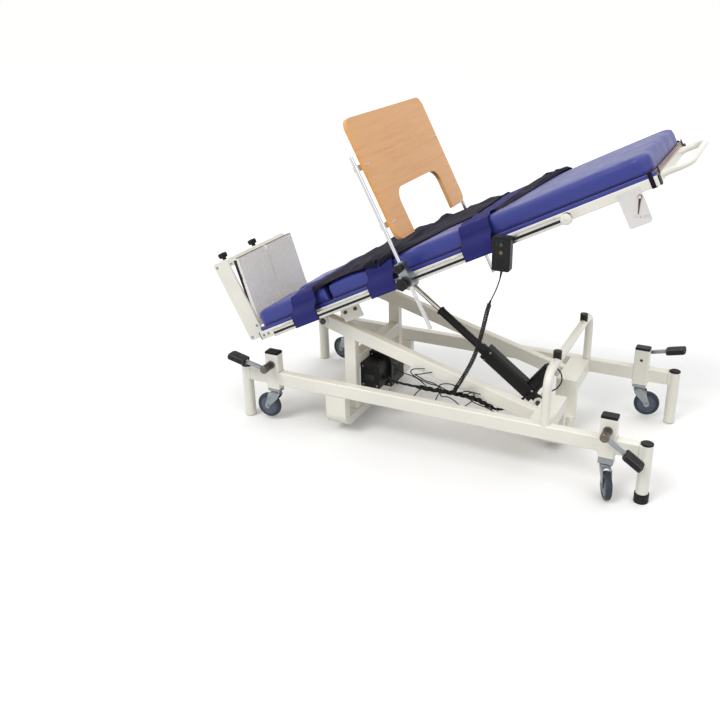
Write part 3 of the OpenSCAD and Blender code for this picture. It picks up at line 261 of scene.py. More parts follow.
def vinyl(name, colour):
    """Upholstery vinyl: pebbled grain, soft gloss, slow changes of depth."""
    n = Nodes(name)
    tone = n.ramp(n.noise(3.2, 4.0), (0.3, shade(colour, 0.86)), (0.72, shade(colour, 1.12)))
    pores = n.map(n.cells(760.0), 0.0, 0.5, 0.0, 0.16)
    tone = n.mix(pores, shade(colour, 0.72), tone)
    grain = n.cells(640.0, "SMOOTH_F1")
    n.bump((n.noise(14.0, 4.0, distortion=0.4), 0.0016), (grain, 0.00022),
           (n.noise(1600.0, 2.0), 0.00006))
    return n.set(tone, n.map(n.noise(22.0, 5.0), 0.36, 0.50), Coat_Weight=0.12,
                 Coat_Roughness=0.3, Sheen_Weight=0.08, Sheen_Roughness=0.4)


def woven(name, colour, dark, pitch=0.0011, rough=0.82):
    """Woven band: threads over and under at a pitch, with fuzz and shading in the gaps."""
    n = Nodes(name)
    turned = n.scaled((1, 1, 1), (0, TILT, 0))
    waves = []
    for axis in ("X", "Y"):
        wave = n.add("TexWave", wave_type="BANDS", bands_direction=axis, wave_profile="SIN")
        wave.inputs["Scale"].default_value = math.pi / (10 * pitch)
        wave.inputs["Distortion"].default_value = 0.35
        wave.inputs["Detail"].default_value = 1.0
        n.link(turned, wave.inputs["Vector"])
        waves.append(wave.outputs["Fac"])
    weave = n.add("Math", operation="MULTIPLY")
    n.link(waves[0], weave.inputs[0])
    n.link(waves[1], weave.inputs[1])
    tone = n.mix(n.map(weave.outputs[0], 0.15, 1.0, 0.0, 0.6), dark, colour)
    tone = n.mix(n.map(n.noise(9.0, 5.0), 0.0, 0.55), tone, shade(colour, 0.7))
    n.bump((n.noise(40.0, 4.0), 0.0008), (weave.outputs[0], 0.0003))
    return n.set(tone, n.map(n.noise(300.0, 3.0), rough - 0.08, rough + 0.06),
                 Sheen_Weight=0.05, Sheen_Roughness=0.5, Specular_IOR_Level=0.2)


def moulded(name, colour, rough=0.45, grain=700.0, depth=0.00012, coat=0.0, shine=0.5):
    """Moulded plastic: spark-eroded grain, scuffs, and a painted highlight that makes its edges
    paler.
    """
    n = Nodes(name)
    tone = n.ramp(n.noise(18.0, 5.0), (0.3, shade(colour, 0.8)), (0.7, shade(colour, 1.25)))
    scuff = n.map(n.noise(95.0, 9.0, rough=0.75), 0.0, 0.4, 0.62, 0.76)
    # The paler tone serves both the scuffs, which are wear, and the painted highlight on the edges
    pale = tuple(c * 0.8 + 0.012 for c in colour)
    tone = n.mix(scuff, tone, pale)
    # Painted highlight: the edges that the bevel node finds take the paler tone
    tone = n.mix(n.map(n.edges(0.0016), 0.0, 0.45, 0.0, 1.0), tone, pale)
    n.bump((n.noise(grain, 3.0), depth), (n.noise(25.0, 2.0), 0.0004))
    return n.set(tone, n.map(n.noise(80.0, 5.0), rough - 0.08, rough + 0.1),
                 Coat_Weight=coat, Coat_Roughness=0.25, Specular_IOR_Level=shine)


def rubber(name, colour, rough=0.72):
    """Rubber: dull, dusty in patches, with a faint bloom."""
    n = Nodes(name)
    dust = n.map(n.noise(26.0, 8.0, rough=0.65), 0.0, 0.5, 0.48, 0.75)
    tone = n.mix(dust, colour, tuple(c * 0.7 + 0.02 for c in colour))
    n.bump((n.noise(900.0, 3.0), 0.0002), (n.noise(70.0, 3.0), 0.0004))
    return n.set(tone, n.map(n.noise(45.0, 4.0), rough - 0.1, rough + 0.12),
                 Sheen_Weight=0.03, Sheen_Roughness=0.6, Specular_IOR_Level=0.35)


def metal(name, colour, rough=0.28, brush=(6, 420, 420), depth=0.00005, turn=(0, 0, 0),
          mottled=0.08, metallic=1.0, drawn=0.3):
    """Metal, bare or with metallic 0 lacquered: drawn along one direction, faintly stained."""
    n = Nodes(name)
    lines = n.noise(1.0, 6.0, place=n.scaled(brush, turn), rough=0.6)
    stains = n.noise(30.0, 6.0, rough=0.6)
    tone = n.ramp(stains, (0.32, shade(colour, 1 - 2 * mottled)), (0.66, colour))
    tone = n.mix(n.map(lines, 0.0, drawn), tone, shade(colour, 0.74))
    n.bump((lines, depth), (n.noise(240.0, 3.0), 0.00005))
    n.set(tone, n.map(stains, rough - 0.06, rough + 0.12), Metallic=metallic)
    return n.material


def wood(name, pale, deep, rough=0.34, coat=0.35):
    """Varnished sheet wood: long grain, fine pores and slow colour bands."""
    n = Nodes(name)
    scale = (26.0, 1.6, 26.0)
    place = n.scaled(scale, (0, TILT, 0))
    rings = n.noise(1.0, 6.0, place=place, rough=0.62, distortion=1.6)
    tone = n.ramp(rings, (0.30, deep), (0.52, pale), (0.75, shade(pale, 1.05)))
    pores = n.noise(1.0, 3.0, place=n.scaled(tuple(14 * s for s in scale), (0, TILT, 0)))
    tone = n.mix(n.map(pores, 0.0, 0.22, 0.55, 0.75), tone, shade(deep, 0.8))
    tone = n.mix(n.map(n.noise(4.0, 3.0), 0.0, 0.25), tone, shade(pale, 0.9))
    n.bump((pores, 0.0001), (rings, 0.00012))
    return n.set(tone, n.map(n.noise(50.0, 4.0), rough - 0.06, rough + 0.1), Coat_Weight=coat,
                 Coat_Roughness=0.22)


MATERIALS = {}


def add_material(maker, name, *values, **options):
    MATERIALS[name] = maker(name, *values, **options)


def make_materials():
    add_material(powder_coat, "cream_paint", srgb(238, 235, 224))
    add_material(vinyl, "vinyl", srgb(46, 55, 144))
    add_material(woven, "webbing", srgb(50, 52, 130), srgb(24, 24, 72))
    add_material(moulded, "black_plastic", srgb(9, 9, 9), shine=0.3)
    add_material(rubber, "black_rubber", srgb(10, 10, 11))
    add_material(moulded, "cord_jacket", srgb(10, 9, 10), 0.5, 300.0, 0.0001, shine=0.3)
    add_material(moulded, "glide_plastic", srgb(214, 209, 196), 0.5)
    add_material(metal, "zinc", srgb(158, 163, 166), 0.3, (60, 60, 60), 0.00003, mottled=0.12)
    add_material(metal, "dark_steel", srgb(70, 70, 74), 0.36, (90, 90, 90), metallic=0.85)
    add_material(rubber, "tyre", srgb(44, 51, 64), 0.5)
    add_material(metal, "rail_steel", srgb(206, 204, 198), 0.24, (3, 500, 500),
                 turn=(0, TILT, 0))
    add_material(metal, "chrome", srgb(212, 212, 214), 0.12, (400, 400, 3), 0.00002,
                 mottled=0.03)
    add_material(metal, "plate_aluminium", srgb(246, 244, 238), 0.4, (300, 300, 3), 0.00004,
                 turn=(0, TILT, 0), metallic=0.0, mottled=0.03, drawn=0.1)
    add_material(wood, "board_wood", srgb(205, 172, 122), srgb(168, 128, 82), 0.6, 0.0)
    add_material(wood, "tray_wood", srgb(230, 168, 104), srgb(219, 150, 84))
    add_material(moulded, "needle_red", srgb(74, 22, 26), 0.4)
    add_material(powder_coat, "dial_white", srgb(226, 222, 220))
    add_material(moulded, "button_green", srgb(24, 62, 38), 0.4)
    add_material(moulded, "button_yellow", srgb(104, 92, 42), 0.4)
    add_material(woven, "dark_cloth", srgb(28, 21, 48), srgb(10, 8, 20), 0.0016, 0.92)
    add_material(moulded, "hub", srgb(66, 76, 94), 0.3, coat=0.25)
    add_material(metal, "brass", srgb(120, 112, 104), 0.3, (60, 60, 60), mottled=0.15)
    add_material(moulded, "print_black", srgb(40, 40, 44), 0.6)
    add_material(moulded, "lens_green", srgb(20, 44, 28), 0.15, coat=0.6)
    add_material(metal, "weld", srgb(222, 217, 203), 0.36, (60, 60, 60), metallic=0.0)


make_materials()


def link_mesh(name, mesh, material, body):
    """A new piece from a mesh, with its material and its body."""
    made = put(name, mesh)
    mesh.materials.append(MATERIALS[material])
    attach(made, body)
    return made


def smooth(mesh):
    mesh.polygons.foreach_set("use_smooth", [True] * len(mesh.polygons))
    return mesh


def to_mesh(name, bm, place=None):
    """A smooth mesh from a bmesh, which it uses up, placed by a matrix."""
    mesh = bpy.data.meshes.new(name)
    bm.to_mesh(mesh)
    bm.free()
    if place is not None:
        mesh.transform(place)
    return smooth(mesh)


def finish_bm(name, bm, material, body, place=None, sharp=35, bevel=0.0):
    """Turns a bmesh in millimetres into a piece, placed by a matrix, with sharp edges kept."""
    if bevel:
        edges = [e for e in bm.edges if len(e.link_faces) == 2
                 and e.calc_face_angle(0) > math.radians(sharp)]
        bmesh.ops.bevel(bm, geom=edges, offset=bevel, segments=2, affect="EDGES",
                        profile=0.6, clamp_overlap=True)
    bmesh.ops.recalc_face_normals(bm, faces=bm.faces)
    place = BASE if place is None else place
    mesh = to_mesh(name, bm, place)
    if place.determinant() < 0:
        mesh.flip_normals()
    mesh.set_sharp_from_angle(angle=math.radians(sharp))
    return link_mesh(name, mesh, material, body)


def skin(bm, rings, closed=False):
    """Faces between rings of points, with both ends filled unless the rings close on themselves."""
    for a, b in zip(rings, rings[1:] + rings[:1] if closed else rings[1:]):
        for k in range(len(a)):
            m = (k + 1) % len(a)
            bm.faces.new((a[k], a[m], b[m], b[k]))
    if not closed:
        bm.faces.new(list(reversed(rings[0])))
        bm.faces.new(rings[-1])


def prism(outline, low, high):
    """A bmesh from a flat outline in X and Y, drawn from one height to another."""
    bm = bmesh.new()
    face = bm.faces.new([bm.verts.new((x, y, low)) for x, y in outline])
    grown = bmesh.ops.extrude_face_region(bm, geom=[face])
    for v in grown["geom"]:
        if isinstance(v, bmesh.types.BMVert):
            v.co.z = high
    return bm


def round_rect(l, w, r, n=5):
    points = []
    for sx, sy, start in ((1, 1, 0), (-1, 1, 90), (-1, -1, 180), (1, -1, 270)):
        for k in range(n + 1):
            a = math.radians(start + 90 * k / n)
            points.append((sx * (l / 2 - r) + r * math.cos(a),
                           sy * (w / 2 - r) + r * math.sin(a)))
    return points


def circle(r, n=40, start=0.0):
    return [(r * math.cos(start + 2 * math.pi * k / n), r * math.sin(start + 2 * math.pi * k / n))
            for k in range(n)]


def lathe(profile, n=48):
    """A bmesh turned about Z from (radius, height) points. A closed ring of points gives a
    closed ring; a line that starts and ends at radius 0 gives a closed solid."""
    bm = bmesh.new()
    rings = []
    for r, z in profile:
        if r == 0:
            rings.append([bm.verts.new((0, 0, z))])
        else:
            rings.append([bm.verts.new((x, y, z)) for x, y in circle(r, n)])
    closed = profile[0][0] != 0 or profile[-1][0] != 0
    pairs = list(zip(rings, rings[1:]))
    if closed:
        pairs.append((rings[-1], rings[0]))
    for a, b in pairs:
        for k in range(n):
            m = (k + 1) % n
            corners = [a[k % len(a)], a[m % len(a)], b[m % len(b)], b[k % len(b)]]
            corners = list(dict.fromkeys(corners))
            if len(corners) > 2:
                bm.faces.new(corners)
    return bm


def mirrored(profile):
    """A profile of (radius, height) points, followed by its mirror image."""
    return profile + [(r, -z) for r, z in reversed(profile)]


def join(*parts):
    """One bmesh from several, each placed by its own matrix."""
    whole = bmesh.new()
    for bm, place in parts:
        bm.transform(place)
        spare = bpy.data.meshes.new("spare")
        bm.to_mesh(spare)
        bm.free()
        whole.from_mesh(spare)
        bpy.data.meshes.remove(spare)
    return whole


def at(x, y, z, turn=None):
    place = Matrix.Translation((x, y, z))
    return place if turn is None else place @ turn


def spin(degrees, axis):
    """A turn about an axis, "X", "Y" or "Z"."""
    return Matrix.Rotation(math.radians(degrees), 4, axis)


def facing(direction, up=(0, 0, 1)):
    """A turn that takes Z to a direction."""
    z = Vector(direction).normalized()
    x = Vector(up).cross(z)
    x = x.normalized() if x.length > 1e-6 else Vector((1, 0, 0))
    return Matrix((x, z.cross(x), z)).transposed().to_4x4()


Y_NEAR = facing((0, -1, 0))
Y_FAR = facing((0, 1, 0))
HEADWARD = facing((1, 0, 0))
FOOTWARD = facing((-1, 0, 0))
STILL = Matrix.Identity(4)


def flip(axis, sign=-1):
    """A mirror across one axis (0, 1 or 2), or nothing when the sign is 1."""
    return Matrix.Scale(sign, 4, [float(k == axis) for k in range(3)])


def outward(side):
    """The turn that takes Z out of the near side (-1) or the far side (1)."""
    return Y_NEAR if side < 0 else Y_FAR


# Lines and tubes

def on_route(points, t):
    """A smooth point on a route of given points."""
    last = len(points) - 1
    i = min(int(t), last - 1)
    f = t - i
    a, b = Vector(points[max(i - 1, 0)]), Vector(points[i])
    c, d = Vector(points[i + 1]), Vector(points[min(i + 2, last)])
    return 0.5 * (2 * b + (c - a) * f + (2 * a - 5 * b + 4 * c - d) * f * f
                  + (3 * b - a - 3 * c + d) * f ** 3)


def way_at(points, t, step=0.02):
    """The direction of a route at a place on it."""
    return (on_route(points, min(t + step, len(points) - 1))
            - on_route(points, max(t - step, 0))).normalized()


def smooth_route(points, n):
    return [on_route(points, k / n * (len(points) - 1)) for k in range(n + 1)]


def sweep(line, radius, sides=10):
    """A bmesh tube along a line. radius is a number or a function of the share along it."""
    line = [Vector(p) for p in line]
    bm = bmesh.new()
    way = (line[1] - line[0]).normalized()
    side = way.orthogonal().normalized()
    rings = []
    count = len(line)
    for i, p in enumerate(line):
        a, b = line[max(i - 1, 0)], line[min(i + 1, count - 1)]
        new_way = (b - a).normalized()
        side = (side - new_way * side.dot(new_way)).normalized()
        other = new_way.cross(side)
        r = radius(i / (count - 1)) if callable(radius) else radius
        rings.append([bm.verts.new(p + r * (math.cos(q) * side + math.sin(q) * other))
                      for q in (2 * math.pi * j / sides for j in range(sides))])
    skin(bm, rings)
    return bm


def length_of(line):
    return sum((Vector(b) - Vector(a)).length for a, b in zip(line, line[1:]))


# Cords: the hand control's lead and curly part, with the routes of the source
LEAD_POINTS = [(1210, -395, 880), (1206, -394, 855), (1198, -390, 825), (1186, -384, 793),
               (1172, -377, 762), (1160, -371, 735)]
LEAD_D = 5
CURL_POINTS = [(1160, -371, 735), (1147, -363, 692), (1135, -352, 645), (1122, -342, 595),
               (1108, -333, 545), (1092, -325, 495), (1072, -317, 445), (1048, -311, 395),
               (1022, -305, 345), (1000, -296, 306), (986, -276, 279), (981, -263.6, 265.5)]
CURL_TURNS, CURL_D, CURL_WIRE, CURL_LEAD = 62, 19, 4.6, 4
CURL_RINGS = 14
ACROSS_Y = Vector((0.12, 1, 0.05))


def curl_line():
    """The curly cord's helix, which starts and ends straight on its route."""
    total = CURL_TURNS * CURL_RINGS
    lead = CURL_LEAD * CURL_RINGS / 8
    line = []
    for k in range(total + 1):
        t = k / total * (len(CURL_POINTS) - 1)
        centre = on_route(CURL_POINTS, t)
        way = way_at(CURL_POINTS, t)
        a = way.cross(ACROSS_Y).normalized()
        b = way.cross(a).normalized()
        grow = max(0.0, min(1.0, (k - lead) / CURL_RINGS, (total - lead - k) / CURL_RINGS))
        q = 2 * math.pi * k / CURL_RINGS
        r = (CURL_D - CURL_WIRE) / 2 * grow
        line.append(centre + r * (math.cos(q) * a + math.sin(q) * b))
    return line


def make_hand_cords():
    lead = smooth_route(LEAD_POINTS, 40)
    piece = finish_bm("handset_lead", sweep(lead, LEAD_D / 2, 12), "cord_jacket", "top")
    sleeve_line = smooth_route([LEAD_POINTS[-2], LEAD_POINTS[-1], CURL_POINTS[1]], 60)
    sleeve_line = [p for p in sleeve_line if (p - Vector(LEAD_POINTS[-1])).length < 13]
    barrel = sweep(sleeve_line, lambda s: 4.6 - 1.6 * abs(2 * s - 1) ** 3, 16)
    sleeve = finish_bm("lead_sleeve", barrel, "cord_jacket", "top")
    ribbed = sweep(lead[:12], lambda s: 5.6 - 2.8 * s - 0.5 * (math.sin(s * 40) > 0.2), 16)
    boot = finish_bm("lead_boot", ribbed, "cord_jacket", "top")
    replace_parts(piece, "handset_cord")

    line = curl_line()
    curly = put("curly_lead", to_mesh("curly_lead", sweep(line, CURL_WIRE / 2, 8), BASE))
    curly.data.materials.append(MATERIALS["cord_jacket"])
    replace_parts(curly, "curly_cord")
    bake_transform(curly)


make_hand_cords()


# Cable bundle from the control box to the motor, tied along the near beam
HARNESS_POINTS = [(595.7, -150, 214), (612, -150, 216), (634, -176, 228), (654, -214, 244),
                  (690, -246, 255), (740, -257, 258), (800, -259, 258), (860, -259, 258),
                  (920, -259, 259), (980, -259, 261), (1030, -258, 258), (1080, -256, 250),
                  (1120, -250, 232), (1150, -234, 212), (1180, -200, 200), (1205, -140, 196),
                  (1224, -80, 198), (1231, -50, 200), (1232, -33, 200)]
STRAND_R, STRAND_OUT, STRAND_TURNS = 2.7, 3.0, 9
LOOP_D = 4.6
LOOPS = {
    "a": [(955, -260, 262), (916, -266, 283), (865, -270, 290), (827, -270, 300),
          (795, -266, 312), (779, -264, 327), (795, -262, 341), (843, -260, 350)],
    "b": [(930, -259, 261), (888, -256, 286), (846, -254, 291), (812, -256, 306),
          (798, -258, 314), (818, -260, 320), (878, -262, 341)],
    "c": [(905, -261, 260), (868, -270, 266), (834, -280, 260), (814, -288, 240),
          (800, -290, 214)],
    "d": [(965, -262, 262), (936, -272, 268), (918, -282, 256), (908, -286, 236),
          (903, -287, 217)],
    "e": [(912, -261, 257), (926, -272, 242), (960, -282, 250), (991, -284, 238),
          (1023, -284, 219), (1053, -282, 238), (1072, -274, 262), (1064, -262, 284),
          (1040, -258, 270)],
    "f": [(1000, -260, 264), (1033, -266, 284), (1064, -270, 287), (1100, -272, 286)],
    "g": [(1010, -261, 262), (1042, -272, 262), (1076, -282, 248), (1144, -290, 237),
          (1181, -292, 221), (1214, -292, 213)],
    "h": [(900, -259, 262), (918, -264, 292), (959, -268, 305), (992, -266, 298),
          (984, -262, 282), (955, -259, 264)],
    "i": [(608, -92, 262), (640, -120, 262), (690, -190, 282), (740, -240, 300),
          (783, -254, 302), (821, -256, 288), (856, -258, 262)],
}
TIE_AT = (4.4, 7.0, 8.4, 9.5, 11.2, 13.4)


def twisted(points, n, offset, turns, phase):
    """A strand that winds round a route."""
    line = []
    for k in range(n + 1):
        share = k / n
        t = share * (len(points) - 1)
        centre = on_route(points, t)
        way = way_at(points, t)
        a = way.cross(Vector((0.05, 0.1, 1))).normalized()
        b = way.cross(a)
        q = 2 * math.pi * (turns * share + phase)
        r = offset * min(1.0, 14 * min(share, 1 - share) + 0.2)
        line.append(centre + r * (math.cos(q) * a + math.sin(q) * b))
    return line


def make_harness():
    """The bundle's strands with their ties, the loose cables, and the box's gland."""
    strands = [finish_bm(f"harness_strand_{i + 1}",
                         sweep(twisted(HARNESS_POINTS, 220, STRAND_OUT, STRAND_TURNS, i / 3),
                               STRAND_R, 10), "cord_jacket", "base") for i in range(3)]
    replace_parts(strands[0], "cable_harness")
    rings = []
    for t in TIE_AT:
        centre = on_route(HARNESS_POINTS, t)
        way = (on_route(HARNESS_POINTS, t + 0.05) - on_route(HARNESS_POINTS, t - 0.05))
        turn = facing(way)
        rings.append((lathe([(5.9, -2.2), (6.9, -2.2), (7.1, 0), (6.9, 2.2), (5.9, 2.2)], 24),
                      at(*centre, turn)))
        rings.append((prism(round_rect(5, 4.4, 0.6, 2), 6.4, 9.6),
                      at(*centre, turn @ spin(90, "X") @ Matrix.Rotation(0.4 * t, 4, "Z"))))
    finish_bm("harness_ties", join(*rings), "cord_jacket", "base")
    for key, points in LOOPS.items():
        line = smooth_route(points, 90)
        loop = finish_bm(f"cable_{key}", sweep(line, LOOP_D / 2, 10), "cord_jacket", "base")
    lumps = [(sweep(twisted(HARNESS_POINTS[6:14], 110, 7.5, 4, q), 3.2, 8), STILL)
             for q in (0.05, 0.38, 0.7)]
    finish_bm("harness_slack", join(*lumps), "cord_jacket", "base")
    gland = [(0, 0), (9.5, 0), (9.5, 6), (8, 7), (8, 15), (6.6, 17), (6.4, 22), (0, 22)]
    start, near = Vector(HARNESS_POINTS[0]), Vector(HARNESS_POINTS[1])
    finish_bm("box_gland", join((lathe(gland, 24), at(*start, facing(near - start)))),
              "black_plastic", "base")


make_harness()


# Padding: closed forms swelled by a short cloth simulation, then sewn

def outline_points(corners, radii, inset, n):
    """A four-cornered outline with round corners, drawn in by an inset."""
    points = []
    for i in range(4):
        a, b, e = (Vector(corners[j % 4]) for j in (i - 1, i, i + 1))
        u1, u2 = (b - a).normalized(), (e - b).normalized()
        n1, n2 = Vector((-u1.y, u1.x)), Vector((-u2.y, u2.x))
        q = max(radii[i] - inset, 4)
        m = b + (inset + q) / (1 + n1.dot(n2)) * (n1 + n2)
        start = math.atan2(-n1.y, -n1.x)
        turn = math.acos(max(-1, min(1, n1.dot(n2))))
        points += [(m.x + q * math.cos(start + turn * j / n),
                    m.y + q * math.sin(start + turn * j / n)) for j in range(n + 1)]
    return points


# How much smaller the foam block starts than the pad, in millimetres
SIDE_ROOM, TOP_ROOM = 5, 7


def pad_start(corners, radii, shrink, height):
    """The foam block before it swells, with a rounded upper edge, in millimetres."""
    bm = bmesh.new()
    rings = []
    edge = 16
    levels = [(2.0, SOFT_GAP), (0.0, SOFT_GAP + 3)]
    levels += [(edge * (1 - math.cos(a)), height - edge + edge * math.sin(a))
               for a in (math.radians(q) for q in (0, 18, 36, 54, 72, 90))]
    for inset, z in levels:
        rings.append([bm.verts.new((x, y, z))
                      for x, y in outline_points(corners, radii, shrink + inset, 8)])
    skin(bm, rings)
    bmesh.ops.recalc_face_normals(bm, faces=bm.faces)
    return bm


CLOTH_STEPS, PRESSURE = 20, 4.0
# In metres
VOXEL, SWELL_CAP = 0.0062, 0.006


def swell(piece, pressure, cap):
    """Swells a closed mesh in metres as cloth under pressure, and caps each point's way."""
    remesh = piece.modifiers.new("remesh", "REMESH")
    remesh.mode = "VOXEL"
    remesh.voxel_size = VOXEL
    bpy.context.view_layer.objects.active = piece
    piece.select_set(True)
    bpy.ops.object.modifier_apply(modifier="remesh")
    start = np.array([v.co for v in piece.data.vertices])
    cloth = piece.modifiers.new("cloth", "CLOTH")
    settings = cloth.settings
    settings.quality = 4
    settings.mass = 0.3
    settings.tension_stiffness = settings.compression_stiffness = 12
    settings.shear_stiffness = 4
    settings.bending_stiffness = 0.6
    settings.use_pressure = True
    settings.uniform_pressure_force = pressure
    settings.effector_weights.gravity = 0
    cloth.point_cache.frame_start = 1
    cloth.point_cache.frame_end = CLOTH_STEPS
    for step in range(1, CLOTH_STEPS + 1):
        scene.frame_set(step)
    bpy.ops.object.modifier_apply(modifier="cloth")
    scene.frame_set(1)
    moved = np.array([v.co for v in piece.data.vertices]) - start
    far = np.linalg.norm(moved, axis=1, keepdims=True)
    moved *= np.minimum(1, cap / np.maximum(far, 1e-9))
    return start + moved


def smooth_step(x):
    x = np.clip(x, 0, 1)
    return x * x * (3 - 2 * x)


def sew(co, corners, height):
    """Crown, flat base, a seam round the upper edge and puckers near it, in millimetres."""
    near = np.full(len(co), 1e9)
    for i in range(4):
        a, b = np.array(corners[i]), np.array(corners[(i + 1) % 4])
        way = (b - a) / np.linalg.norm(b - a)
        inward = np.array((-way[1], way[0]))
        near = np.minimum(near, (co[:, :2] - a) @ inward)
    co[:, 2] += 2.2 * smooth_step(near / 130) * smooth_step((co[:, 2] - height / 2) / 20)
    seam_z = 0.70 * height
    side = smooth_step((30 - near) / 14)
    groove = np.exp(-((co[:, 2] - seam_z) / 3.4) ** 2) * side
    middle = np.array([(corners[0][0] + corners[2][0]) / 2, (corners[0][1] + corners[2][1]) / 2])
    out = co[:, :2] - middle
    out = out / np.maximum(np.linalg.norm(out, axis=1, keepdims=True), 1e-6)
    along = co[:, 0] + co[:, 1]
    pucker = 0.5 * np.sin(along / 7.5) + 0.35 * np.sin(along / 4.3 + 1.3)
    belt = np.exp(-((co[:, 2] - seam_z) / 15) ** 2) * side
    co[:, :2] -= out * (2.4 * groove + 0.55 * pucker * belt)[:, None]
    co[:, 2] = np.maximum(co[:, 2], SOFT_GAP)
    return co


def make_pad(name, corners, radii, body, nodes):
    """A pad of vinyl over foam, in place of the CAD's nodes."""
    block = pad_start(corners, radii, SIDE_ROOM, PAD_T - TOP_ROOM)
    pad = put(name, to_mesh(name, block, Matrix.Scale(MM, 4)))
    co = swell(pad, PRESSURE, SWELL_CAP) / MM
    co = sew(co, corners, PAD_T)
    slow = np.array([noise.noise(Vector((x / 150, y / 110, z / 90))) for x, y, z in co])
    co[:, 2] += 1.3 * slow * smooth_step((co[:, 2] - 30) / 30)
    co[:, 2] = np.clip(co[:, 2], SOFT_GAP, PAD_T + 2)
    co = np.array([TOP @ Vector(p) for p in co])
    pad.data.vertices.foreach_set("co", co.ravel())
    pad.data.update()
    finer = pad.modifiers.new("finer", "SUBSURF")
    finer.levels = finer.render_levels = 1
    bpy.context.view_layer.objects.active = pad
    bpy.ops.object.modifier_apply(modifier="finer")
    smooth(pad.data).materials.append(MATERIALS["vinyl"])
    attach(pad, body)
    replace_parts(pad, *nodes)
    return pad


make_pad("mattress_pad", [(LEG_PAD_L + 2, -HALF_W), (TOP_L, -HALF_W), (TOP_L, HALF_W),
                          (LEG_PAD_L + 2, HALF_W)], [8, 62, 62, 8], "top", ["mattress"])
make_pad("near_leg_pad", [(0, -HALF_W), (LEG_PAD_L, -HALF_W), (LEG_PAD_L, -7), (0, -22)],
         [48, 8, 20, 48], "top", ["leg_pads"])
make_pad("far_leg_pad", [(0, 22), (LEG_PAD_L, 7), (LEG_PAD_L, HALF_W), (0, HALF_W)],
         [48, 20, 8, 48], "top", ["leg_pads"])


# Straps: each comes from under the rails, over the sides, and lies on the padding in folds
STRAP_T = 3
STRAP_FOLD, STRAP_WAVES = 7, 5


def strap_profile():
    """The strap's line across the top, near side to far side, as (y, w)."""
    def side(s):
        return [(s * 335, RAIL_W0 - 0.4), (s * 352, RAIL_W0 - 1.2),
                (s * (RAIL_Y + 3.5), RAIL_W0 - 0.6), (s * (RAIL_Y + 5.6), RAIL_W0 + 3),
                (s * (RAIL_Y + 5.8), RAIL_W0 + 15), (s * (RAIL_Y + 5.6), RAIL_W0 + 28),
                (s * (RAIL_Y - 2), 8), (s * (HALF_W + 9.5), 0.4 * PAD_T),
                (s * (HALF_W + 3.5), 0.72 * PAD_T), (s * (HALF_W - 10), 0.98 * PAD_T + 3.4)]
    middle = []
    n = 44
    for i in range(n + 1):
        t = i / n
        wave = math.sin(math.pi * STRAP_WAVES * t) ** 2 * (0.55 + 0.45 * math.cos(
            math.radians(250 * t)))
        middle.append(((2 * t - 1) * (HALF_W - 24), PAD_T + 4.4 + STRAP_FOLD * wave))
    return side(-1) + middle + side(1)[::-1]


def cloth_piece(name, verts, across, thick, material, upward=True):
    """A sheet on the top from rows of points, with across + 1 points in each row."""
    faces = []
    for row in range(len(verts) // (across + 1) - 1):
        for j in range(across):
            a = row * (across + 1) + j
            b = a + across + 1
            faces.append((a, a + 1, b + 1, b) if upward else (a, b, b + 1, a + 1))
    mesh = bpy.data.meshes.new(name)
    mesh.from_pydata(verts, [], faces)
    mesh.transform(TOP)
    made = link_mesh(name, smooth(mesh), material, "top")
    solid = made.modifiers.new("thickness", "SOLIDIFY")
    solid.thickness, solid.offset = thick * MM, 0.0
    return made


def make_strap(number, u):
    profile = strap_profile()
    line = [on_route([(y, w, 0) for y, w in profile], k / 3)
            for k in range(3 * (len(profile) - 1) + 1)]
    across = 22
    verts = []
    for i, p in enumerate(line):
        share = i / (len(line) - 1)
        lift = smooth_step((p.y - PAD_T) / 20)
        for j in range(across + 1):
            s = j / across - 0.5
            ripple = 1.2 * noise.noise(Vector((s * 2.4, share * 9, number * 7.1)))
            skew = 16 * lift * math.sin(3 * math.pi * share + number)
            pinch = 1 - 0.10 * lift * (0.5 + 0.5 * math.sin(14 * share))
            verts.append((u + skew + s * STRAP_W * pinch, p.x,
                          p.y + ripple * lift + (3.0 * lift * math.sin(7 * s + 5 * share + number))
                          * (p.y > PAD_T + 4)))
    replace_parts(cloth_piece(f"strap_{number}", verts, across, STRAP_T, "webbing"), "straps")


for number, strap_u in enumerate(STRAP_US):
    make_strap(number + 1, strap_u)


# The carried-over solids keep their shapes and take their materials

def dress_frame():
    """Gives each solid of the CAD the material that its slot names."""
    slots = {row["node"]: row["material_slot"]
             for row in frame["record"]["subparts"] if row.get("material_slot")}
    for name, made in NODES.items():
        slot = slots.get(name)
        material = MATERIALS[slot]
        if not made.material_slots:
            made.data.materials.append(material)
        for place in made.material_slots:
            place.material = material


dress_frame()


# Casters: wheel, yoke and swivel head of each corner, in the corner's own frame

HOUSING_X = (148, 1652)
RAIL_HALF = 350
LIFT_GAP = 14.087
PRESSED_DROP = 13.787
TRAIL, WHEEL_R, TYRE_IN = 40, 57.5, 41.5
WHEEL_Z = WHEEL_R + LIFT_GAP
CROWN_Z = 2 * WHEEL_R + LIFT_GAP + 9
PEDAL_Z, LEVER_Y = 290, 428
PEDAL_UP, HEAD_PRESS = 13, 47
# Each corner: end 0 is the foot, side -1 is near, then the swivel angle
CORNERS = {"near_foot": (0, -1, 180), "far_foot": (0, 1, 168),
           "near_head": (1, -1, -66), "far_head": (1, 1, 8)}


def corner_place(corner):
    """The place of a corner's fork and wheel, lowered where the caster is pressed."""
    end, side, swivel = CORNERS[corner]
    drop = PRESSED_DROP if corner == "near_head" else 0
    return BASE @ at(HOUSING_X[end], side * RAIL_HALF, -drop) @ spin(swivel, "Z")


